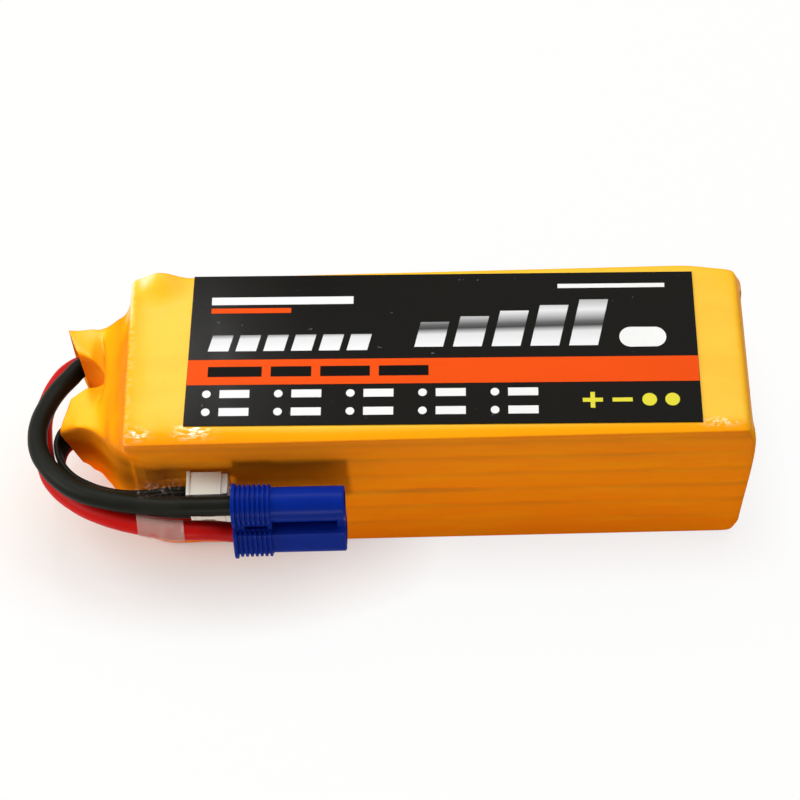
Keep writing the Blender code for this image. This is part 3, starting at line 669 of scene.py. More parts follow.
class LIPO_OT_stage(bpy.types.Operator):
    """Make the camera, the lamps, the floor and the white surroundings"""

    bl_idname = "lipo.stage"
    bl_label = "Stage"

    def execute(self, context):
        settings = context.scene.lipo.stage
        self.make_camera(context, settings)
        self.make_floor(settings)
        self.make_world(context)
        for setting, lamp in LAMPS.items():
            self.make_lamp(getattr(settings, setting), *lamp)
        context.scene.view_settings.view_transform = "Standard"
        return {"FINISHED"}

    def make_camera(self, context, settings):
        """Camera at the photograph's viewing angle."""
        data = bpy.data.cameras.new("camera")
        camera = bpy.data.objects.new("camera", data)
        context.scene.collection.objects.link(camera)
        around, up = settings.azimuth, settings.elevation
        back = Vector((math.sin(around) * math.cos(up), -math.cos(around) * math.cos(up), math.sin(up)))
        level = Vector((math.cos(around), math.sin(around), 0.0))
        over = back.cross(level)
        right = level * math.cos(settings.roll) + over * math.sin(settings.roll)
        turn = Matrix((right, back.cross(right), back)).transposed()
        place = Vector(settings.target) + back * settings.distance
        camera.matrix_world = Matrix.Translation(place) @ turn.to_4x4()
        data.lens = settings.lens
        data.sensor_width = 36.0
        data.clip_start = 0.01
        context.scene.camera = camera

    def make_floor(self, settings):
        """Pale floor that shows white to the camera and keeps a soft shadow."""
        deselect_all()
        bpy.ops.mesh.primitive_plane_add(size=FLOOR_SIZE, location=(0.0, 0.0, -FLOOR_DROP))
        floor = bpy.context.object
        floor.name = "floor"
        material, shader, place = new_material("floor_paper", Roughness=0.6, Specular_IOR_Level=0.2)
        field = noise_field(material, place, 0.4)
        # The tan colour gives the floor's shadow a painted warm bounce from the orange film.
        vary_colour(material, shader, field, settings.floor, shaded(settings.floor, 0.98))
        glow = add_node(material, "ShaderNodeEmission", {"Color": (1.0, 1.0, 1.0, 1.0), "Strength": 1.0})
        oval, foot = self.oval_white(material, place, settings), self.foot_white(material, place)
        white = combine(material, "MINIMUM", oval, foot)
        white = combine(material, "MULTIPLY", white, seen_directly(material))
        mix = add_node(material, "ShaderNodeMixShader", {
            0: white, 1: shader.outputs["BSDF"], 2: glow.outputs["Emission"]})
        feed(material.node_tree.nodes["Material Output"].inputs["Surface"], mix.outputs["Shader"])
        floor.data.materials.append(material)
        deselect_all()

    def oval_white(self, material, place, settings):
        """Share of white on the floor, which is low in the oval that keeps the most shadow."""
        oval = add_node(material, "ShaderNodeMapping", {"Vector": place, "Scale": FLOOR_OVAL})
        centre = [value * scale for value, scale in zip(settings.shadow, FLOOR_OVAL)]
        reach = add_node(material, "ShaderNodeVectorMath", {0: oval.outputs["Vector"], 1: centre},
                         operation="DISTANCE")
        return span(material, reach.outputs["Value"], *OVAL_WHITE)

    def foot_white(self, material, place):
        """Share of white on the floor, which is lower close to the pack's foot."""
        away, zero = place, (0.0, 0.0, 0.0)
        for operation, value in (("ABSOLUTE", zero), ("SUBTRACT", (HALF_LENGTH, HALF_WIDTH, 0.0)),
                                 ("MAXIMUM", zero)):
            step = add_node(material, "ShaderNodeVectorMath", {0: away, 1: value}, operation=operation)
            away = step.outputs["Vector"]
        reach = add_node(material, "ShaderNodeVectorMath", {0: away}, operation="LENGTH")
        return span(material, reach.outputs["Value"], *FOOT_WHITE)

    def make_world(self, context):
        """White surroundings that light the pack only softly."""
        world = bpy.data.worlds.new("surroundings")
        world.use_nodes = True
        context.scene.world = world
        background = world.node_tree.nodes["Background"]
        feed(background.inputs["Color"], (1.0, 1.0, 1.0, 1.0))
        feed(background.inputs["Strength"], span(world, seen_directly(world), bottom=0.05))

    def make_lamp(self, power, name, place, size):
        """Rectangular softbox that faces the pack."""
        data = bpy.data.lights.new(name, "AREA")
        data.shape = "RECTANGLE"
        data.size, data.size_y = size
        data.energy = power
        lamp = bpy.data.objects.new(name, data)
        bpy.context.scene.collection.objects.link(lamp)
        lamp.location = place
        lamp.rotation_euler = (-Vector(place)).to_track_quat("-Z", "Y").to_euler()


class LIPO_OT_leads(bpy.types.Operator):
    """Make the two heavy leads and the seven thin ones as cords"""

    bl_idname = "lipo.leads"
    bl_label = "Leads"

    def execute(self, context):
        settings = context.scene.lipo.leads
        black = self.silicone("black_silicone", settings.black, 1.8)
        red = self.silicone("red_silicone", settings.red, 0.80)
        plug = [bpy.data.objects["plug_shell"]]
        for name, node, slot, material, points in (
                ("black_lead", "main_lead_black", "black_silicone", black, main_route(BLACK_ROUTE_MM)),
                ("red_lead", "main_lead_red", "red_silicone", red, main_route(RED_ROUTE_MM, red=True))):
            lead = self.make_lead(name, points, settings.main_diameter, 10)
            finish_piece(lead, slot, material, node)
            self.declare(lead, points[3], settings.main_diameter, plug)
        plug = [bpy.data.objects["balance_shell"]]
        for way in range(WAYS):
            points = balance_route(way - (WAYS - 1) / 2)
            lead = self.make_lead(f"thin_lead_{way + 1}", points, settings.balance_diameter, 5)
            slot, material = ("balance_red", red) if way == 0 else ("balance_black", black)
            finish_piece(lead, slot, material, f"balance_lead_{way + 1}")
            self.declare(lead, points[2], settings.balance_diameter, plug)
        return {"FINISHED"}

    def make_lead(self, name, points, diameter, roundness):
        """Smooth round tube through the points of a route."""
        curve = bpy.data.curves.new(name, "CURVE")
        curve.dimensions = "3D"
        curve.bevel_depth = diameter / 2
        curve.bevel_resolution = roundness
        curve.resolution_u = 10
        curve.use_fill_caps = True
        spline = curve.splines.new("BEZIER")
        spline.bezier_points.add(len(points) - 1)
        for knot, place in zip(spline.bezier_points, points):
            knot.co = place
            knot.handle_left_type = "AUTO"
            knot.handle_right_type = "AUTO"
        lead = bpy.data.objects.new(name, curve)
        bpy.context.scene.collection.objects.link(lead)
        return lead

    def declare(self, lead, leaves, diameter, pieces):
        """Leave a lead as it is: nothing is declared here."""

    def silicone(self, name, color, dust):
        """Soft matt silicone with a little dust."""
        return varied(name, color, shaded(color, dust), 0.012, (0.36, 0.50), 0.00002,
                      Specular_IOR_Level=0.08)


class LIPO_OT_film(bpy.types.Operator):
    """Make the shrunk film with its folds, grooves and necks"""

    bl_idname = "lipo.film"
    bl_label = "Film"

    def execute(self, context):
        settings = context.scene.lipo.film
        skin = start_piece("film_skin", "cube", size=1.0, location=(0.0, 0.0, HEIGHT / 2),
                           scale=(2 * HALF_LENGTH, 2 * HALF_WIDTH, HEIGHT))
        self.cut_loops(skin, settings)
        self.open_far_end(skin, settings)
        self.draw_necks(skin)
        self.cut_layers(skin)
        modify(skin, "SUBSURF", levels=3, render_levels=3, use_limit_surface=False)
        sculpt(skin, lambda place, normal: self.relax(settings, place, normal))
        modify(skin, "SOLIDIFY", thickness=settings.thickness, offset=-1.0)
        self.note_painted_light(skin, settings)
        finish_piece(skin, "shrink_film", self.film(settings), "shrink_film_sleeve", smooth=60.0)
        return {"FINISHED"}

    def bisect(self, place, normal, everywhere=True):
        """Cut a loop through the whole cage, or only through what is selected."""
        if everywhere:
            bpy.ops.mesh.select_all(action="SELECT")
        bpy.ops.mesh.bisect(plane_co=place, plane_no=normal)

    def cut_loops(self, skin, settings):
        """Loops close to the edges, which keep the folds of the film tight."""
        edit(skin)
        folds = {(0, -1): settings.lead_fold, (0, 1): settings.end_fold, (1, -1): settings.tight_fold,
                 (1, 1): settings.fold, (2, -1): settings.fold, (2, 1): settings.tight_fold}
        for (axis, sign), fold in folds.items():
            self.bisect(*self.plane(axis, sign, fold))

    def plane(self, axis, sign, inset):
        """Point and normal of a plane that lies inside one side of the pack."""
        half = Vector((HALF_LENGTH, HALF_WIDTH, HEIGHT / 2))
        normal = Vector((0.0, 0.0, 0.0))
        normal[axis] = 1.0
        return Vector((0.0, 0.0, half.z)) + normal * sign * (half[axis] - inset), normal

    def open_far_end(self, skin, settings):
        """Draw the film over the far end and leave an opening with tight corners in its middle."""
        self.pick_end(skin, 1)
        bpy.ops.mesh.inset(thickness=settings.lip)
        bpy.ops.mesh.delete(type="FACE")
        rim = HALF_LENGTH - settings.end_fold
        for axis in (1, 2):
            for sign in (-1, 1):
                select_faces(skin, lambda face: face.calc_center_median().x > rim)
                self.bisect(*self.plane(axis, sign, settings.opening_fold), everywhere=False)

    def pick_end(self, skin, sign):
        """Select the large middle face of one end."""
        size = 0.5 * HALF_WIDTH * HEIGHT
        select_faces(skin, lambda face: face.normal.x * sign > 0.9 and face.calc_area() > size)

    def draw_necks(self, skin):
        """Narrow the lead end in two steps, split it and draw out the two necks."""
        self.pick_end(skin, -1)
        for corners in SHOULDER_MM:
            bpy.ops.mesh.extrude_region_move()
            place_ring(skin, corners)
        split = from_corner(SPLIT_TOP_MM)
        self.bisect(split, (0, 1, 0), everywhere=False)
        self.sink_split(skin, split.y)
        outer_x = CORNER.x - NECK_ROOT
        for rings, side in ((BALANCE_NECK_MM, -1), (MAIN_NECK_MM, 1)):
            select_faces(skin, lambda face: face.normal.x < -0.8 and face.calc_center_median().x < outer_x
                         and (face.calc_center_median().y - split.y) * side > 0)
            for corners in rings:
                bpy.ops.mesh.extrude_region_move()
                place_ring(skin, corners)
            bpy.ops.mesh.delete(type="FACE")

    def sink_split(self, skin, split_y):
        """Push the line between the necks back towards the pack, as a valley."""
        mesh = bmesh.from_edit_mesh(skin.data)
        line = [vert for vert in mesh.verts if vert.co.x < -HALF_LENGTH and abs(vert.co.y - split_y) < 1e-5]
        low, high = sorted(line, key=lambda vert: vert.co.z)
        low.co, high.co = from_corner(SPLIT_BOTTOM_MM), from_corner(SPLIT_TOP_MM)
        bmesh.update_edit_mesh(skin.data)

    def cut_layers(self, skin):
        """Loops along and between the cells, for the grooves that show through the film."""
        bounds = [LAYER_LINES[0] - (LAYER_LINES[1] - LAYER_LINES[0]), *LAYER_LINES]
        for line in LAYER_LINES:
            self.bisect((0.0, 0.0, line), (0, 0, 1))
        for low, high in zip(bounds, LAYER_LINES):
            self.bisect((0.0, 0.0, (low + high) / 2), (0, 0, 1))
        for share in CROSS_LOOPS:
            self.bisect((share * HALF_LENGTH, 0.0, 0.0), (1, 0, 0))
        bpy.ops.object.mode_set(mode="OBJECT")

    def distances(self, place):
        """Distances of a place from the lead end, the far end, the front, the back and the top."""
        return (HALF_LENGTH + place.x, HALF_LENGTH - place.x, HALF_WIDTH + place.y, HALF_WIDTH - place.y,
                HEIGHT - place.z)

    def relax(self, settings, place, normal):
        """Sink the film between the cells, crinkle it, and shape its corners and its far end."""
        lead, far, front, back, top = self.distances(place)
        moved = place - normal * settings.groove_depth * self.groove(settings, place, normal)
        ripple = noise.noise(Vector((place.x * 260, place.y * 140, place.z * 150)))
        moved += normal * settings.crinkle * fade(lead, 0.004, 0.030) * min(0.0, ripple)
        fine = noise.noise(Vector((place.x * 700, place.y * 900, place.z * 500)))
        moved += normal * settings.wrinkle * self.gloss(place) * fine
        blunt = bell(math.hypot(lead, front), 0.0, 0.0034) * ramp(top, 0.003, 0.010)
        moved += Vector((0.6, 0.8, 0.0)) * settings.corner * blunt
        pinch = bell(lead, 0.0068, 0.0040) * fade(back, 0.0, 0.007) * fade(top, 0.0005, 0.005)
        moved += Vector((0.0, 0.35, 1.0)) * settings.ear * pinch
        tuck = fade(far, 0.0, 0.014) * fade(back, 0.0, 0.010) * fade(top, 0.0, 0.012)
        moved -= Vector((0.0, 1.0, 0.5)) * settings.tuck * tuck
        brow, foot = fade(top, 0.0, 0.0055), fade(place.z, 0.0, 0.005)
        belly = bell(top, 0.0120, 0.0120 if top < 0.0120 else 0.0240)
        moved.x += settings.bulge * fade(far, 0.0, 0.004) * (belly - 1.3 * brow - foot)
        return moved

    def groove(self, settings, place, normal):
        """Share of the full groove at a place: on the two long faces, and fading out at the lead end."""
        side = ramp(abs(normal.y), 0.6, 0.95) * ramp(HALF_LENGTH + place.x, 0.0, 0.016)
        wave = 0.75 + 0.7 * noise.noise(Vector((place.x * 45, place.y * 20, place.z * 90)))
        height = place.z + 0.00025 * noise.noise(Vector((place.x * 80, 3.0, 0.0)))
        lines = sum(weight * bell(height, line, settings.groove_width)
                    for weight, line in zip(LAYER_WEIGHTS, LAYER_LINES))
        return side * max(0.0, wave) * lines

    def gloss(self, place):
        """Share of full gloss at a place: in the spots of drawn film, and a little on the lead end's fold."""
        lead, _, front, _, top = self.distances(place)
        drawn = sum(bell(lead, x, wide) * bell(front, y, deep) for x, y, wide, deep in GLOSS_SPOTS)
        return fade(top, 0.001, 0.004) * min(1.0, drawn + 0.35 * bell(lead, 0.0008, 0.0008))

    def upright(self, place, normal):
        """Share to which the film stands upright at a place: on the long faces, and not on the necks."""
        return ramp(abs(normal.y), 0.6, 0.95) * fade(-HALF_LENGTH - place.x, 0.003, 0.010)

    def tone(self, place, normal):
        """Painted light and shade of the film at a place, from 0 where it faces down to 1 where it is palest
        on top.
        """
        lead, far, front, _, _ = self.distances(place)
        neck = ramp(-lead, 0.003, 0.010)
        # Masks of painted shade near the front edge, in the necks' hollows, on the lead end's fold and on the
        # sloping film near it, of a painted glare at the back of the lead end, and of painted light on the
        # necks' crests and on the far end's strip.
        edge = fade(front, 0.0005, 0.0045)
        hollow_shade = neck * fade(place.z, 0.022, 0.034) * fade(place.y, 0.0, 0.006)
        roll = fade(lead, -0.001, 0.006)
        back = ramp(place.y, 0.004, 0.016) * ramp(-normal.x, 0.1, 0.5) * ramp(place.z, 0.036, 0.042)
        slope_shade = fade(front, 0.0010, 0.0075) * ramp(normal.z, 0.2, 0.6) * fade(lead, 0.010, 0.045)
        crest_light = neck * (0.04 + 0.05 * ramp(place.y, 0.0, 0.006)) * ramp(normal.z, 0.1, 0.5)
        strip = fade(far, 0.001, 0.006) * ramp(place.z, 0.026, 0.036) * ramp(normal.x, 0.15, 0.6)
        # Painted light where the film faces up, painted shade where it faces down and on the upper part of
        # upright faces.
        tone = 0.5 + (0.4 if normal.z > 0.0 else 0.5) * normal.z + crest_light
        tone += 0.20 * self.upright(place, normal) * (place.z / HEIGHT - 0.5)
        tone += 0.22 * back - 0.05 * roll * (1.0 - back)
        tone -= 0.11 * edge + 0.50 * hollow_shade + 0.06 * slope_shade
        return tone + 0.75 * strip * max(0.0, 0.885 - tone)

    def seam(self, settings, place, normal):
        """Share of painted shade at a place: in the grooves between the cells, and under the top fold."""
        below_fold = 0.35 * self.upright(place, normal) * bell(HEIGHT - place.z, 0.0024, 0.0010)
        return min(1.0, 0.5 * self.groove(settings, place, normal) + below_fold)

    def note_painted_light(self, skin, settings):
        """Note the film's painted light and shade, its gloss and the shade painted in its seams on every
        point, for its material.
        """
        tone, gloss, seam = (skin.data.attributes.new(name, "FLOAT", "POINT").data
                             for name in ("tone", "gloss", "seam"))
        for vert, shade, shine, dusty_and_shaded in zip(skin.data.vertices, tone, gloss, seam):
            shade.value = self.tone(vert.co, vert.normal)
            shine.value = self.gloss(vert.co)
            dusty_and_shaded.value = self.seam(settings, vert.co, vert.normal)

    def film(self, settings):
        """Yellow-orange film with painted light and shade, paler on top and deeper on its sides, with a soft
        sheen.
        """
        material, shader, place = new_material("shrink_film")
        tone = attribute(material, "tone")
        patches = noise_field(material, place, 0.020)
        streaks = span(material, noise_field(material, place, 0.0018, 2.0, (1.0, 1.8, 1.0)), 0.46, 0.51)
        gloss = combine(material, "MULTIPLY", attribute(material, "gloss"), streaks)
        feed(shader.inputs["Base Color"], self.paint(material, place, settings, tone, patches))
        sheen = span(material, tone, 0.82, 0.90, 0.0, 0.10)
        feed(shader.inputs["Specular IOR Level"], combine(material, "MAXIMUM", gloss, sheen))
        rough = span(material, patches, bottom=0.20, top=0.32)
        polish = combine(material, "MULTIPLY", gloss, 0.22)
        feed(shader.inputs["Roughness"], combine(material, "SUBTRACT", rough, polish, clamp=True))
        fine = combine(material, "MULTIPLY", noise_field(material, place, 0.0009, 2.0), gloss)
        relief = combine(material, "ADD", combine(material, "MULTIPLY", fine, 2.0),
                         noise_field(material, place, 0.004, 2.0))
        add_relief(material, shader, relief, 0.00004)
        return material

    def paint(self, material, place, settings, tone, patches):
        """Colour of the film: its painted light and shade, then painted shade in the seams, smudges along the
        pack and deeper patches.
        """
        # Painted light and shade: lit and shaded copies of the film's colour, picked by the painted light on
        # each point.
        paint = colour_ramp(material, tone, [
            (0.0, settings.deep), (0.40, settings.side), (0.60, settings.painted_upper_shade), (0.69, settings.side),
            (0.83, settings.turn), (0.90, settings.lit), (1.0, settings.painted_highlight)])
        # Painted shade in the seams between the layers and under the top fold.
        paint = mix_colours(material, attribute(material, "seam"), paint, settings.dust)
        smudges = noise_field(material, place, 0.0055, 4.0, (0.30, 0.80, 1.6))
        paint = mix_colours(material, span(material, smudges, 0.46, 0.68, 0.0, 0.26), paint, settings.turn)
        return mix_colours(material, combine(material, "MULTIPLY", patches, 0.14), paint, settings.side)


class LIPO_OT_label(bpy.types.Operator):
    """Make the printed label and its plain marks"""

    bl_idname = "lipo.label"
    bl_label = "Label"

    def execute(self, context):
        settings = context.scene.lipo.label
        sheet = start_piece("label_sheet", "cube", size=1.0,
                            scale=(settings.length, settings.width, LABEL_HIGH.z - LABEL_LOW.z))
        sculpt(sheet, lambda place, normal: self.taper(settings, place))
        self.lay_down(sheet, settings, (LABEL_LOW.z + LABEL_HIGH.z) / 2)
        finish_piece(sheet, "label_print", self.ground(settings), "label")
        for name, draw, material, layer in (
                ("band_print", self.draw_band, self.ink("label_band", settings.band), 1),
                ("dash_print", self.draw_dashes, self.ink("label_dash", settings.ground), 2),
                ("light_print", self.draw_light, self.ink("label_light", settings.light), 1),
                ("gauge_print", self.draw_gauge, self.chrome(), 1),
                ("accent_print", self.draw_accents, self.ink("label_accent", settings.accent), 1)):
            self.make_marks(name, settings, draw, material, layer)
        return {"FINISHED"}

    def taper(self, settings, place):
        """Draw the front edge of the sheet out at both ends."""
        place.x -= math.copysign(settings.taper / 2, place.x) * place.y / settings.width
        return place

    def lay_down(self, piece, settings, height):
        """Turn a flat piece to the label's lie and put it on the pack."""
        take(piece)
        middle = (LABEL_LOW + LABEL_HIGH) / 2
        piece.rotation_euler.z = settings.turn
        piece.location = (middle.x, middle.y + settings.shift, height)
        bpy.ops.object.transform_apply(location=True, rotation=True, scale=True)

    def make_marks(self, name, settings, draw, material, layer):
        """One colour of the print: flat marks with a little height, drawn about the label's middle."""
        marks = bpy.data.objects.new(name, bpy.data.meshes.new(name))
        bpy.context.scene.collection.objects.link(marks)
        edit(marks)
        draw(settings.length / MM)
        bpy.ops.object.mode_set(mode="OBJECT")
        modify(marks, "SOLIDIFY", thickness=settings.ink, offset=1.0)
        self.lay_down(marks, settings, LABEL_HIGH.z + (layer - 1) * settings.ink)
        finish_piece(marks, "label_print", material)

    def add_bar(self, x, y, long, high, slant=0.0):
        """Flat bar about a middle in millimetres, with its top edge pushed sideways by a slant."""
        middle = Vector((x, y, 0.0)) * MM
        bpy.ops.mesh.primitive_plane_add(size=MM, location=middle)
        bpy.ops.transform.resize(value=(long, high, 1.0), center_override=middle)
        if slant:
            mesh = bmesh.from_edit_mesh(bpy.context.object.data)
            for vert in mesh.verts:
                if vert.select and vert.co.y > y * MM:
                    vert.co.x += slant * MM

    def add_disc(self, x, y, radius, stretch=0.0):
        """Flat disc about a middle in millimetres, or a pill if it is stretched."""
        bpy.ops.mesh.primitive_circle_add(vertices=32, radius=radius * MM, fill_type="NGON",
                                          location=(x * MM, y * MM, 0.0))
        mesh = bmesh.from_edit_mesh(bpy.context.object.data)
        for vert in mesh.verts:
            if vert.select:
                vert.co.x += math.copysign(stretch * MM / 2, vert.co.x - x * MM)

    def draw_band(self, long):
        """Band over the whole length, and one short rule of the same colour."""
        self.add_bar(0.0, -6.0, long, 6.5)
        self.add_bar(-43.0, 10.2, 18.0, 1.3)

    def draw_dashes(self, _):
        """Plain dark dashes along the band."""
        for x, long in ((-46.0, 12.0), (-33.5, 9.0), (-21.5, 11.0), (-8.5, 11.0)):
            self.add_bar(x, -5.9, long, 2.6)

    def draw_light(self, _):
        """White rule, pill and two rows of dots with short bars."""
        self.add_bar(-36.0, 12.8, 32.0, 2.0)
        self.add_bar(38.0, 16.0, 24.0, 1.1)
        self.add_disc(44.6, 2.3, 2.6, 5.2)
        for column in range(5):
            for y in (-11.6, -16.2):
                x = -52.0 + 15.9 * column
                self.add_disc(x, y, 0.95)
                self.add_bar(x + 6.2, y, 6.6, 2.0)

    def draw_gauge(self, _):
        """Slanted bars that rise like a charge gauge, and a row of small ones."""
        for step in range(5):
            high = 6.5 + 1.4 * step
            self.add_bar(-3.0 + 8.6 * step, 0.2 + high / 2, 6.4, high, 0.22 * high)
        for step in range(6):
            self.add_bar(-50.0 + 6.2 * step, 1.6, 4.6, 4.2, 1.0)

    def draw_accents(self, _):
        """Plus and minus sign beside two dots."""
        plus, minus, row, rise = 33.0, 39.5, -13.9, 1.25
        for x in (plus, minus):
            self.add_bar(x, row, 4.4, 1.0)
        for y in (row + rise, row - rise):
            self.add_bar(plus, y, 1.0, 1.5)
        for x in (45.4, 50.4):
            self.add_disc(x, row, 1.6)

    def ground(self, settings):
        """Black gloss print with rubbed streaks and specks of dust."""
        material, shader, place = new_material("label_ground", Specular_IOR_Level=0.026)
        rubbed = noise_field(material, place, 0.016, 4.0, (1.5, 0.35, 1.0))
        paint = mix_colours(material, rubbed, settings.ground, shaded(settings.ground, 1.9))
        specks = span(material, noise_field(material, place, 0.0013, 2.0), 0.74, 0.80, 0.0, 0.10)
        vary_colour(material, shader, specks, paint, settings.light)
        vary_roughness(material, shader, rubbed, 0.08, 0.26)
        return material

    def ink(self, name, color):
        """Printing ink under a clear gloss."""
        return varied(name, color, shaded(color, 0.92), 0.01, (0.24, 0.34), 0.0, Specular_IOR_Level=0.02)

    def chrome(self):
        """Grey print that is shaded across its height like polished metal."""
        material, shader, place = new_material("label_chrome", Roughness=0.3, Specular_IOR_Level=0.1)
        parts = add_node(material, "ShaderNodeSeparateXYZ", {"Vector": place}).outputs
        middle = (LABEL_LOW.y + LABEL_HIGH.y) / 2
        height = span(material, parts["Y"], middle, middle + CHROME_HEIGHT)
        grey = [(0.0, 0.85), (0.30, 0.70), (0.42, 0.03), (0.50, 0.10), (0.75, 0.75), (1.0, 0.35)]
        paint = colour_ramp(material, height, [(stop, (value,) * 3) for stop, value in grey])
        feed(shader.inputs["Base Color"], paint)
        return material


class LIPO_OT_main_plug(bpy.types.Operator):
    """Make the ribbed plug with its two barrels, and the two sockets in it"""

    bl_idname = "lipo.main_plug"
    bl_label = "Main plug"

    def execute(self, context):
        settings = context.scene.lipo.plugs
        shell = loft("plug_shell", self.shell_rings(settings))
        for side in (1, -1):
            for name, ends, radius in (("bore", BORE_ENDS, settings.bore / 2),
                                       ("entry", ENTRY_ENDS, ENTRY_RADIUS)):
                cut(shell, loft(name, [self.circle(along, radius, side) for along in ends]))
        for side in (1, -1):
            place = self.place(SLOT_ALONG, side * SLOT_ACROSS, 0.0)
            cut(shell, start_piece("slot", "cube", size=1.0, location=place, rotation=(PLUG_TILT, 0.0, 0.0),
                                   scale=SLOT_SIZE))
        finish_piece(shell, "plug_blue", self.plastic(settings), "main_plug_housing")
        brass = varied("socket_gold_turned", settings.gold, shaded(settings.gold, 0.85), 0.002, (0.16, 0.28),
                       0.000004, Metallic=1.0)
        for side, pole in ((1, "negative"), (-1, "positive")):
            rings = [self.circle(along, radius, side) for along, radius in SOCKET_PROFILE]
            finish_piece(loft(f"socket_{pole}", rings), "socket_gold", brass, f"main_socket_{pole}")
        return {"FINISHED"}

    def place(self, along, across, up):
        """Point on the plug: along it from its rear, across it and up from its middle."""
        rear = from_corner(MAIN_PLUG_MM) + PLUG_DROP / 2
        return rear + Vector((along, across * math.cos(PLUG_TILT) - up * math.sin(PLUG_TILT),
                              across * math.sin(PLUG_TILT) + up * math.cos(PLUG_TILT)))

    def circle(self, along, radius, side):
        """Ring about one barrel's axis."""
        turns = [2 * math.pi * step / BARREL_SIDES for step in range(BARREL_SIDES)]
        return [self.place(along, radius * math.cos(turn), side * PLUG_PITCH / 2 + radius * math.sin(turn))
                for turn in turns]

    def outline(self, along, diameter, web):
        """Ring about both barrels and the web between them: the upper one is round, the lower one squared."""
        steps, radius, meet = 30, diameter / 2, math.acos(web / diameter)
        ring = []
        for side, square in ((1, 0.0), (-1, KEY_SQUARE)):
            for step in range(steps + 1):
                angle = -meet + (math.pi + 2 * meet) * step / steps
                across, up = math.cos(angle), math.sin(angle)
                power = 1.0 - square * ramp(up, -0.85, -0.35)
                across = math.copysign(abs(across) ** power, across) * radius
                up = math.copysign(abs(up) ** power, up) * radius + PLUG_PITCH / 2
                ring.append(self.place(along, side * across, side * up))
        return ring

    def shell_rings(self, settings):
        """Rings of the housing from its flange over the ribs and the barrels to the mouth."""
        grip, barrel = settings.grip, settings.barrel
        valley = grip - 2 * RIB_DEPTH
        first, last = FLANGE_LENGTH + RING_STEP, settings.grip_length - RING_STEP
        pitch = (last - first) / settings.ribs
        bridge = PLUG_LENGTH - BRIDGE_LENGTH
        along, off_diameter, off_web = MOUTH_CHAMFER
        rings = [(0.0, grip, GRIP_WEB), (FLANGE_CHAMFER, FLANGE_DIAMETER, FLANGE_WEB),
                 (FLANGE_LENGTH - FLANGE_CHAMFER, FLANGE_DIAMETER, FLANGE_WEB),
                 (FLANGE_LENGTH, valley, GRIP_WEB)]
        for rib in range(settings.ribs):
            rings += [(first + (rib + share) * pitch, grip - 2 * depth, GRIP_WEB)
                      for share, depth in RIB_SHAPE]
        rings += [(last, valley, GRIP_WEB), (settings.grip_length, barrel, PLUG_WEB),
                  (bridge - RING_STEP, barrel, PLUG_WEB), (bridge, barrel, BRIDGE_WEB),
                  (PLUG_LENGTH - along, barrel, BRIDGE_WEB),
                  (PLUG_LENGTH, barrel - off_diameter, BRIDGE_WEB - off_web)]
        return [self.outline(*ring) for ring in rings]

    def plastic(self, settings):
        """Moulded blue plastic with faint sink marks."""
        return varied("plug_blue_moulded", settings.blue, shaded(settings.blue, 1.25), 0.006, (0.28, 0.40),
                      0.000012, Specular_IOR_Level=0.045)


class LIPO_OT_balance_plug(bpy.types.Operator):
    """Make the flat plug of the thin leads, with its flange, nose, windows and holes"""

    bl_idname = "lipo.balance_plug"
    bl_label = "Balance plug"

    def execute(self, context):
        settings = context.scene.lipo.plugs
        low = BALANCE_LOW + Vector((BALANCE_FLANGE, BALANCE_PROUD, BALANCE_PROUD))
        high = BALANCE_HIGH - Vector((BALANCE_NOSE, BALANCE_PROUD, BALANCE_PROUD))
        middle = (low + high) / 2
        shell = start_piece("balance_shell", "cube", size=1.0, location=middle, scale=high - low)
        edit(shell)
        self.draw_end(shell, -1, BALANCE_FLANGE, BALANCE_PROUD)
        self.draw_end(shell, 1, BALANCE_NOSE, -BALANCE_STEP)
        bpy.ops.object.mode_set(mode="OBJECT")
        modify(shell, "BEVEL", width=BALANCE_EDGE, segments=2, limit_method="ANGLE")
        mouths = (BALANCE_HIGH.x - 0.0020, middle.y, middle.z), (0.0060, 0.0018, 0.0018)
        entries = (BALANCE_LOW.x + 0.0012, middle.y, middle.z), (0.0030, 0.0017, 0.0017)
        windows = (middle.x - 0.0004, low.y, middle.z), (0.0030, 0.0024, 0.0012)
        for place, size in (mouths, entries, windows):
            cut(shell, self.row_of_tools(place, size))
        white = varied("plug_white_moulded", settings.white, shaded(settings.white, 1.08), 0.006,
                       (0.38, 0.50), 0.00001, Specular_IOR_Level=0.30)
        finish_piece(shell, "plug_white", white, "balance_plug_housing")
        return {"FINISHED"}

    def draw_end(self, shell, sign, reach, grow):
        """Step one end out or in, and draw it on."""
        select_faces(shell, lambda face: face.normal.x * sign > 0.9)
        mesh = bmesh.from_edit_mesh(shell.data)
        low, high = box_round([vert.co.copy() for vert in mesh.verts if vert.select])
        bpy.ops.mesh.extrude_region_move()
        fit_selection(shell, low - Vector((0, grow, grow)), high + Vector((0, grow, grow)))
        bpy.ops.mesh.extrude_region_move(TRANSFORM_OT_translate={"value": (sign * reach, 0.0, 0.0)})

    def row_of_tools(self, place, size):
        """One box for every way, to cut with."""
        x, y, z = place
        lowest = (x, y, z - (WAYS - 1) / 2 * WAY_PITCH)
        tool = start_piece("tools", "cube", size=1.0, location=lowest, scale=size)
        modify(tool, "ARRAY", count=WAYS, use_relative_offset=False, use_constant_offset=True,
               constant_offset_displace=(0.0, 0.0, WAY_PITCH))
        return tool


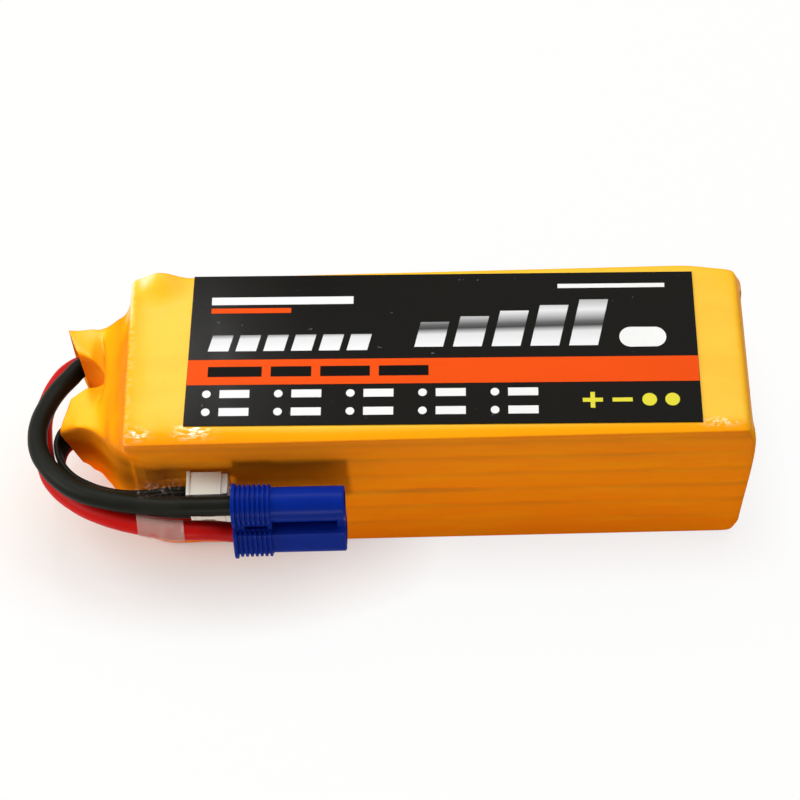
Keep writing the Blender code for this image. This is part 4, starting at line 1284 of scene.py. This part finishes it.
class LIPO_OT_tape(bpy.types.Operator):
    """Make the clear tape that holds the heavy leads"""

    bl_idname = "lipo.tape"
    bl_label = "Tape"

    def execute(self, context):
        settings = context.scene.lipo.tape
        strip = start_piece("tape_strip", "grid", x_subdivisions=TAPE_COLUMNS - 1,
                            y_subdivisions=TAPE_ROWS - 1, size=2.0)
        routes = [main_route(BLACK_ROUTE_MM), main_route(RED_ROUTE_MM, red=True)]
        radius = context.scene.lipo.leads.main_diameter / 2 + TAPE_CLEAR
        columns = []
        for step in range(TAPE_COLUMNS):
            x = TAPE_LOW.x + (TAPE_HIGH.x - TAPE_LOW.x) * step / (TAPE_COLUMNS - 1)
            columns.append(spread(self.section(x, radius, routes), TAPE_ROWS))
        sculpt(strip, lambda place, normal: self.lie(place, columns))
        modify(strip, "SOLIDIFY", thickness=settings.thickness, offset=0.0)
        self.note_haze(strip, settings)
        finish_piece(strip, "clear_tape", self.haze(settings), "clear_tape", smooth=60.0)
        return {"FINISHED"}

    def section(self, x, radius, routes):
        """Course of the tape at one place: down the face, round both leads and back to the face."""
        black, red = (route_at(route, x) for route in routes)
        face = SLEEVE_LOW.y - TAPE_LIFT
        outward = math.atan2(red.z - black.z, red.y - black.y) - math.pi / 2
        first = tangent_angle(black, radius, (face, TAPE_LEAVES), 1)
        last = tangent_angle(red, radius, (face, TAPE_RETURNS), -1)
        course = [(face, TAPE_TOP), (face, TAPE_LEAVES)]
        course += arc(black, radius, first, outward % (2 * math.pi))
        course += arc(red, radius, outward % (2 * math.pi), last % (2 * math.pi))
        course += [(face, TAPE_RETURNS), (face, TAPE_BOTTOM)]
        return [Vector((x, y, z)) for y, z in course]

    def lie(self, place, columns):
        """Put a point of the flat grid on the tape's course, with a few creases."""
        column = round((place.x + 1.0) / 2 * (TAPE_COLUMNS - 1))
        row = round((place.y + 1.0) / 2 * (TAPE_ROWS - 1))
        point = columns[column][row].copy()
        crease = noise.noise(Vector((point.x * 420, point.y * 160, point.z * 240)))
        point.y -= TAPE_CREASE * max(0.0, crease)
        return point

    def note_haze(self, strip, settings):
        """Note the tape's haze, most where it is pressed on the lower lead, and its dust on every point."""
        haze, dust = (strip.data.attributes.new(name, "FLOAT", "POINT").data for name in ("haze", "dust"))
        for vert, milky, dusty_and_shaded in zip(strip.data.vertices, haze, dust):
            _, y, z = vert.co
            pressed = fade(z, 0.0336, 0.0352) * ramp(-y, 0.0290, 0.0305)
            milky.value = 0.003 + settings.haze * pressed * (0.45 + 0.55 * ramp(z, 0.0255, 0.0325))
            dusty_and_shaded.value = settings.dust * bell(y, -0.0278, 0.0014) * ramp(z, 0.0350, 0.0365)

    def haze(self, settings):
        """Clear plastic, milky where it is pressed on, with dust and creases."""
        material, shader, place = new_material("tape_haze", Specular_IOR_Level=0.2, Roughness=0.2)
        field = noise_field(material, place, 0.003, 4.0)
        vary_colour(material, shader, field, settings.tint, shaded(settings.tint, 1.2))
        clouds = span(material, field, bottom=0.8, top=1.2)
        milky = combine(material, "MULTIPLY", attribute(material, "haze"), clouds)
        specks = span(material, noise_field(material, place, 0.0007, 5.0), 0.55, 0.70)
        dusty_and_shaded = combine(material, "MULTIPLY", attribute(material, "dust"), specks)
        feed(shader.inputs["Alpha"], combine(material, "ADD", dusty_and_shaded, milky))
        add_relief(material, shader, noise_field(material, place, 0.002), 0.00006)
        return material


class LIPO_OT_finishes(bpy.types.Operator):
    """Give every solid that stays its own finish"""

    bl_idname = "lipo.finishes"
    bl_label = "Finishes of the inner pieces"

    def execute(self, context):
        slots = {part["node"]: part["material_slot"] for part in frame["record"]["subparts"]}
        looks = {slot: varied(slot, *look, Metallic=metal) for slot, (*look, metal) in FINISHES.items()}
        for name, node in frame["nodes"].items():
            if not node.hide_render:
                node.data.materials.clear()
                node.data.materials.append(looks[slots[name]])
        return {"FINISHED"}


class LIPO_PT_panel(bpy.types.Panel):
    """Settings and operators of the pack"""

    bl_idname = "LIPO_PT_panel"
    bl_label = "Lipo battery pack"
    bl_space_type = "VIEW_3D"
    bl_region_type = "UI"
    bl_category = "Pack"

    def draw(self, context):
        pack = context.scene.lipo
        for group in ("stage", "leads", "film", "label", "plugs", "tape"):
            box = self.layout.box()
            box.label(text=group.title())
            settings = getattr(pack, group)
            for name in settings.__annotations__:
                box.prop(settings, name)
        for operator in OPERATORS:
            self.layout.operator(operator.bl_idname)


GROUPS = (LIPO_PG_film, LIPO_PG_label, LIPO_PG_leads, LIPO_PG_plugs, LIPO_PG_tape, LIPO_PG_stage,
          LIPO_PG_pack)
OPERATORS = (LIPO_OT_stage, LIPO_OT_film, LIPO_OT_label, LIPO_OT_main_plug, LIPO_OT_balance_plug,
             LIPO_OT_tape, LIPO_OT_leads, LIPO_OT_finishes)
CLASSES = (*GROUPS, *OPERATORS, LIPO_PT_panel)


def register():
    """Add the settings, the operators and the panel."""
    for item in CLASSES:
        bpy.utils.register_class(item)
    bpy.types.Scene.lipo = PointerProperty(type=LIPO_PG_pack)


def unregister():
    """Take them away again."""
    del bpy.types.Scene.lipo
    for item in reversed(CLASSES):
        bpy.utils.unregister_class(item)


def main():
    """Add the settings, operators and panel, and build the pack in order."""
    register()
    for operator in OPERATORS:
        group, name = operator.bl_idname.split(".")
        getattr(getattr(bpy.ops, group), name)()


if __name__ == "__main__":
    main()
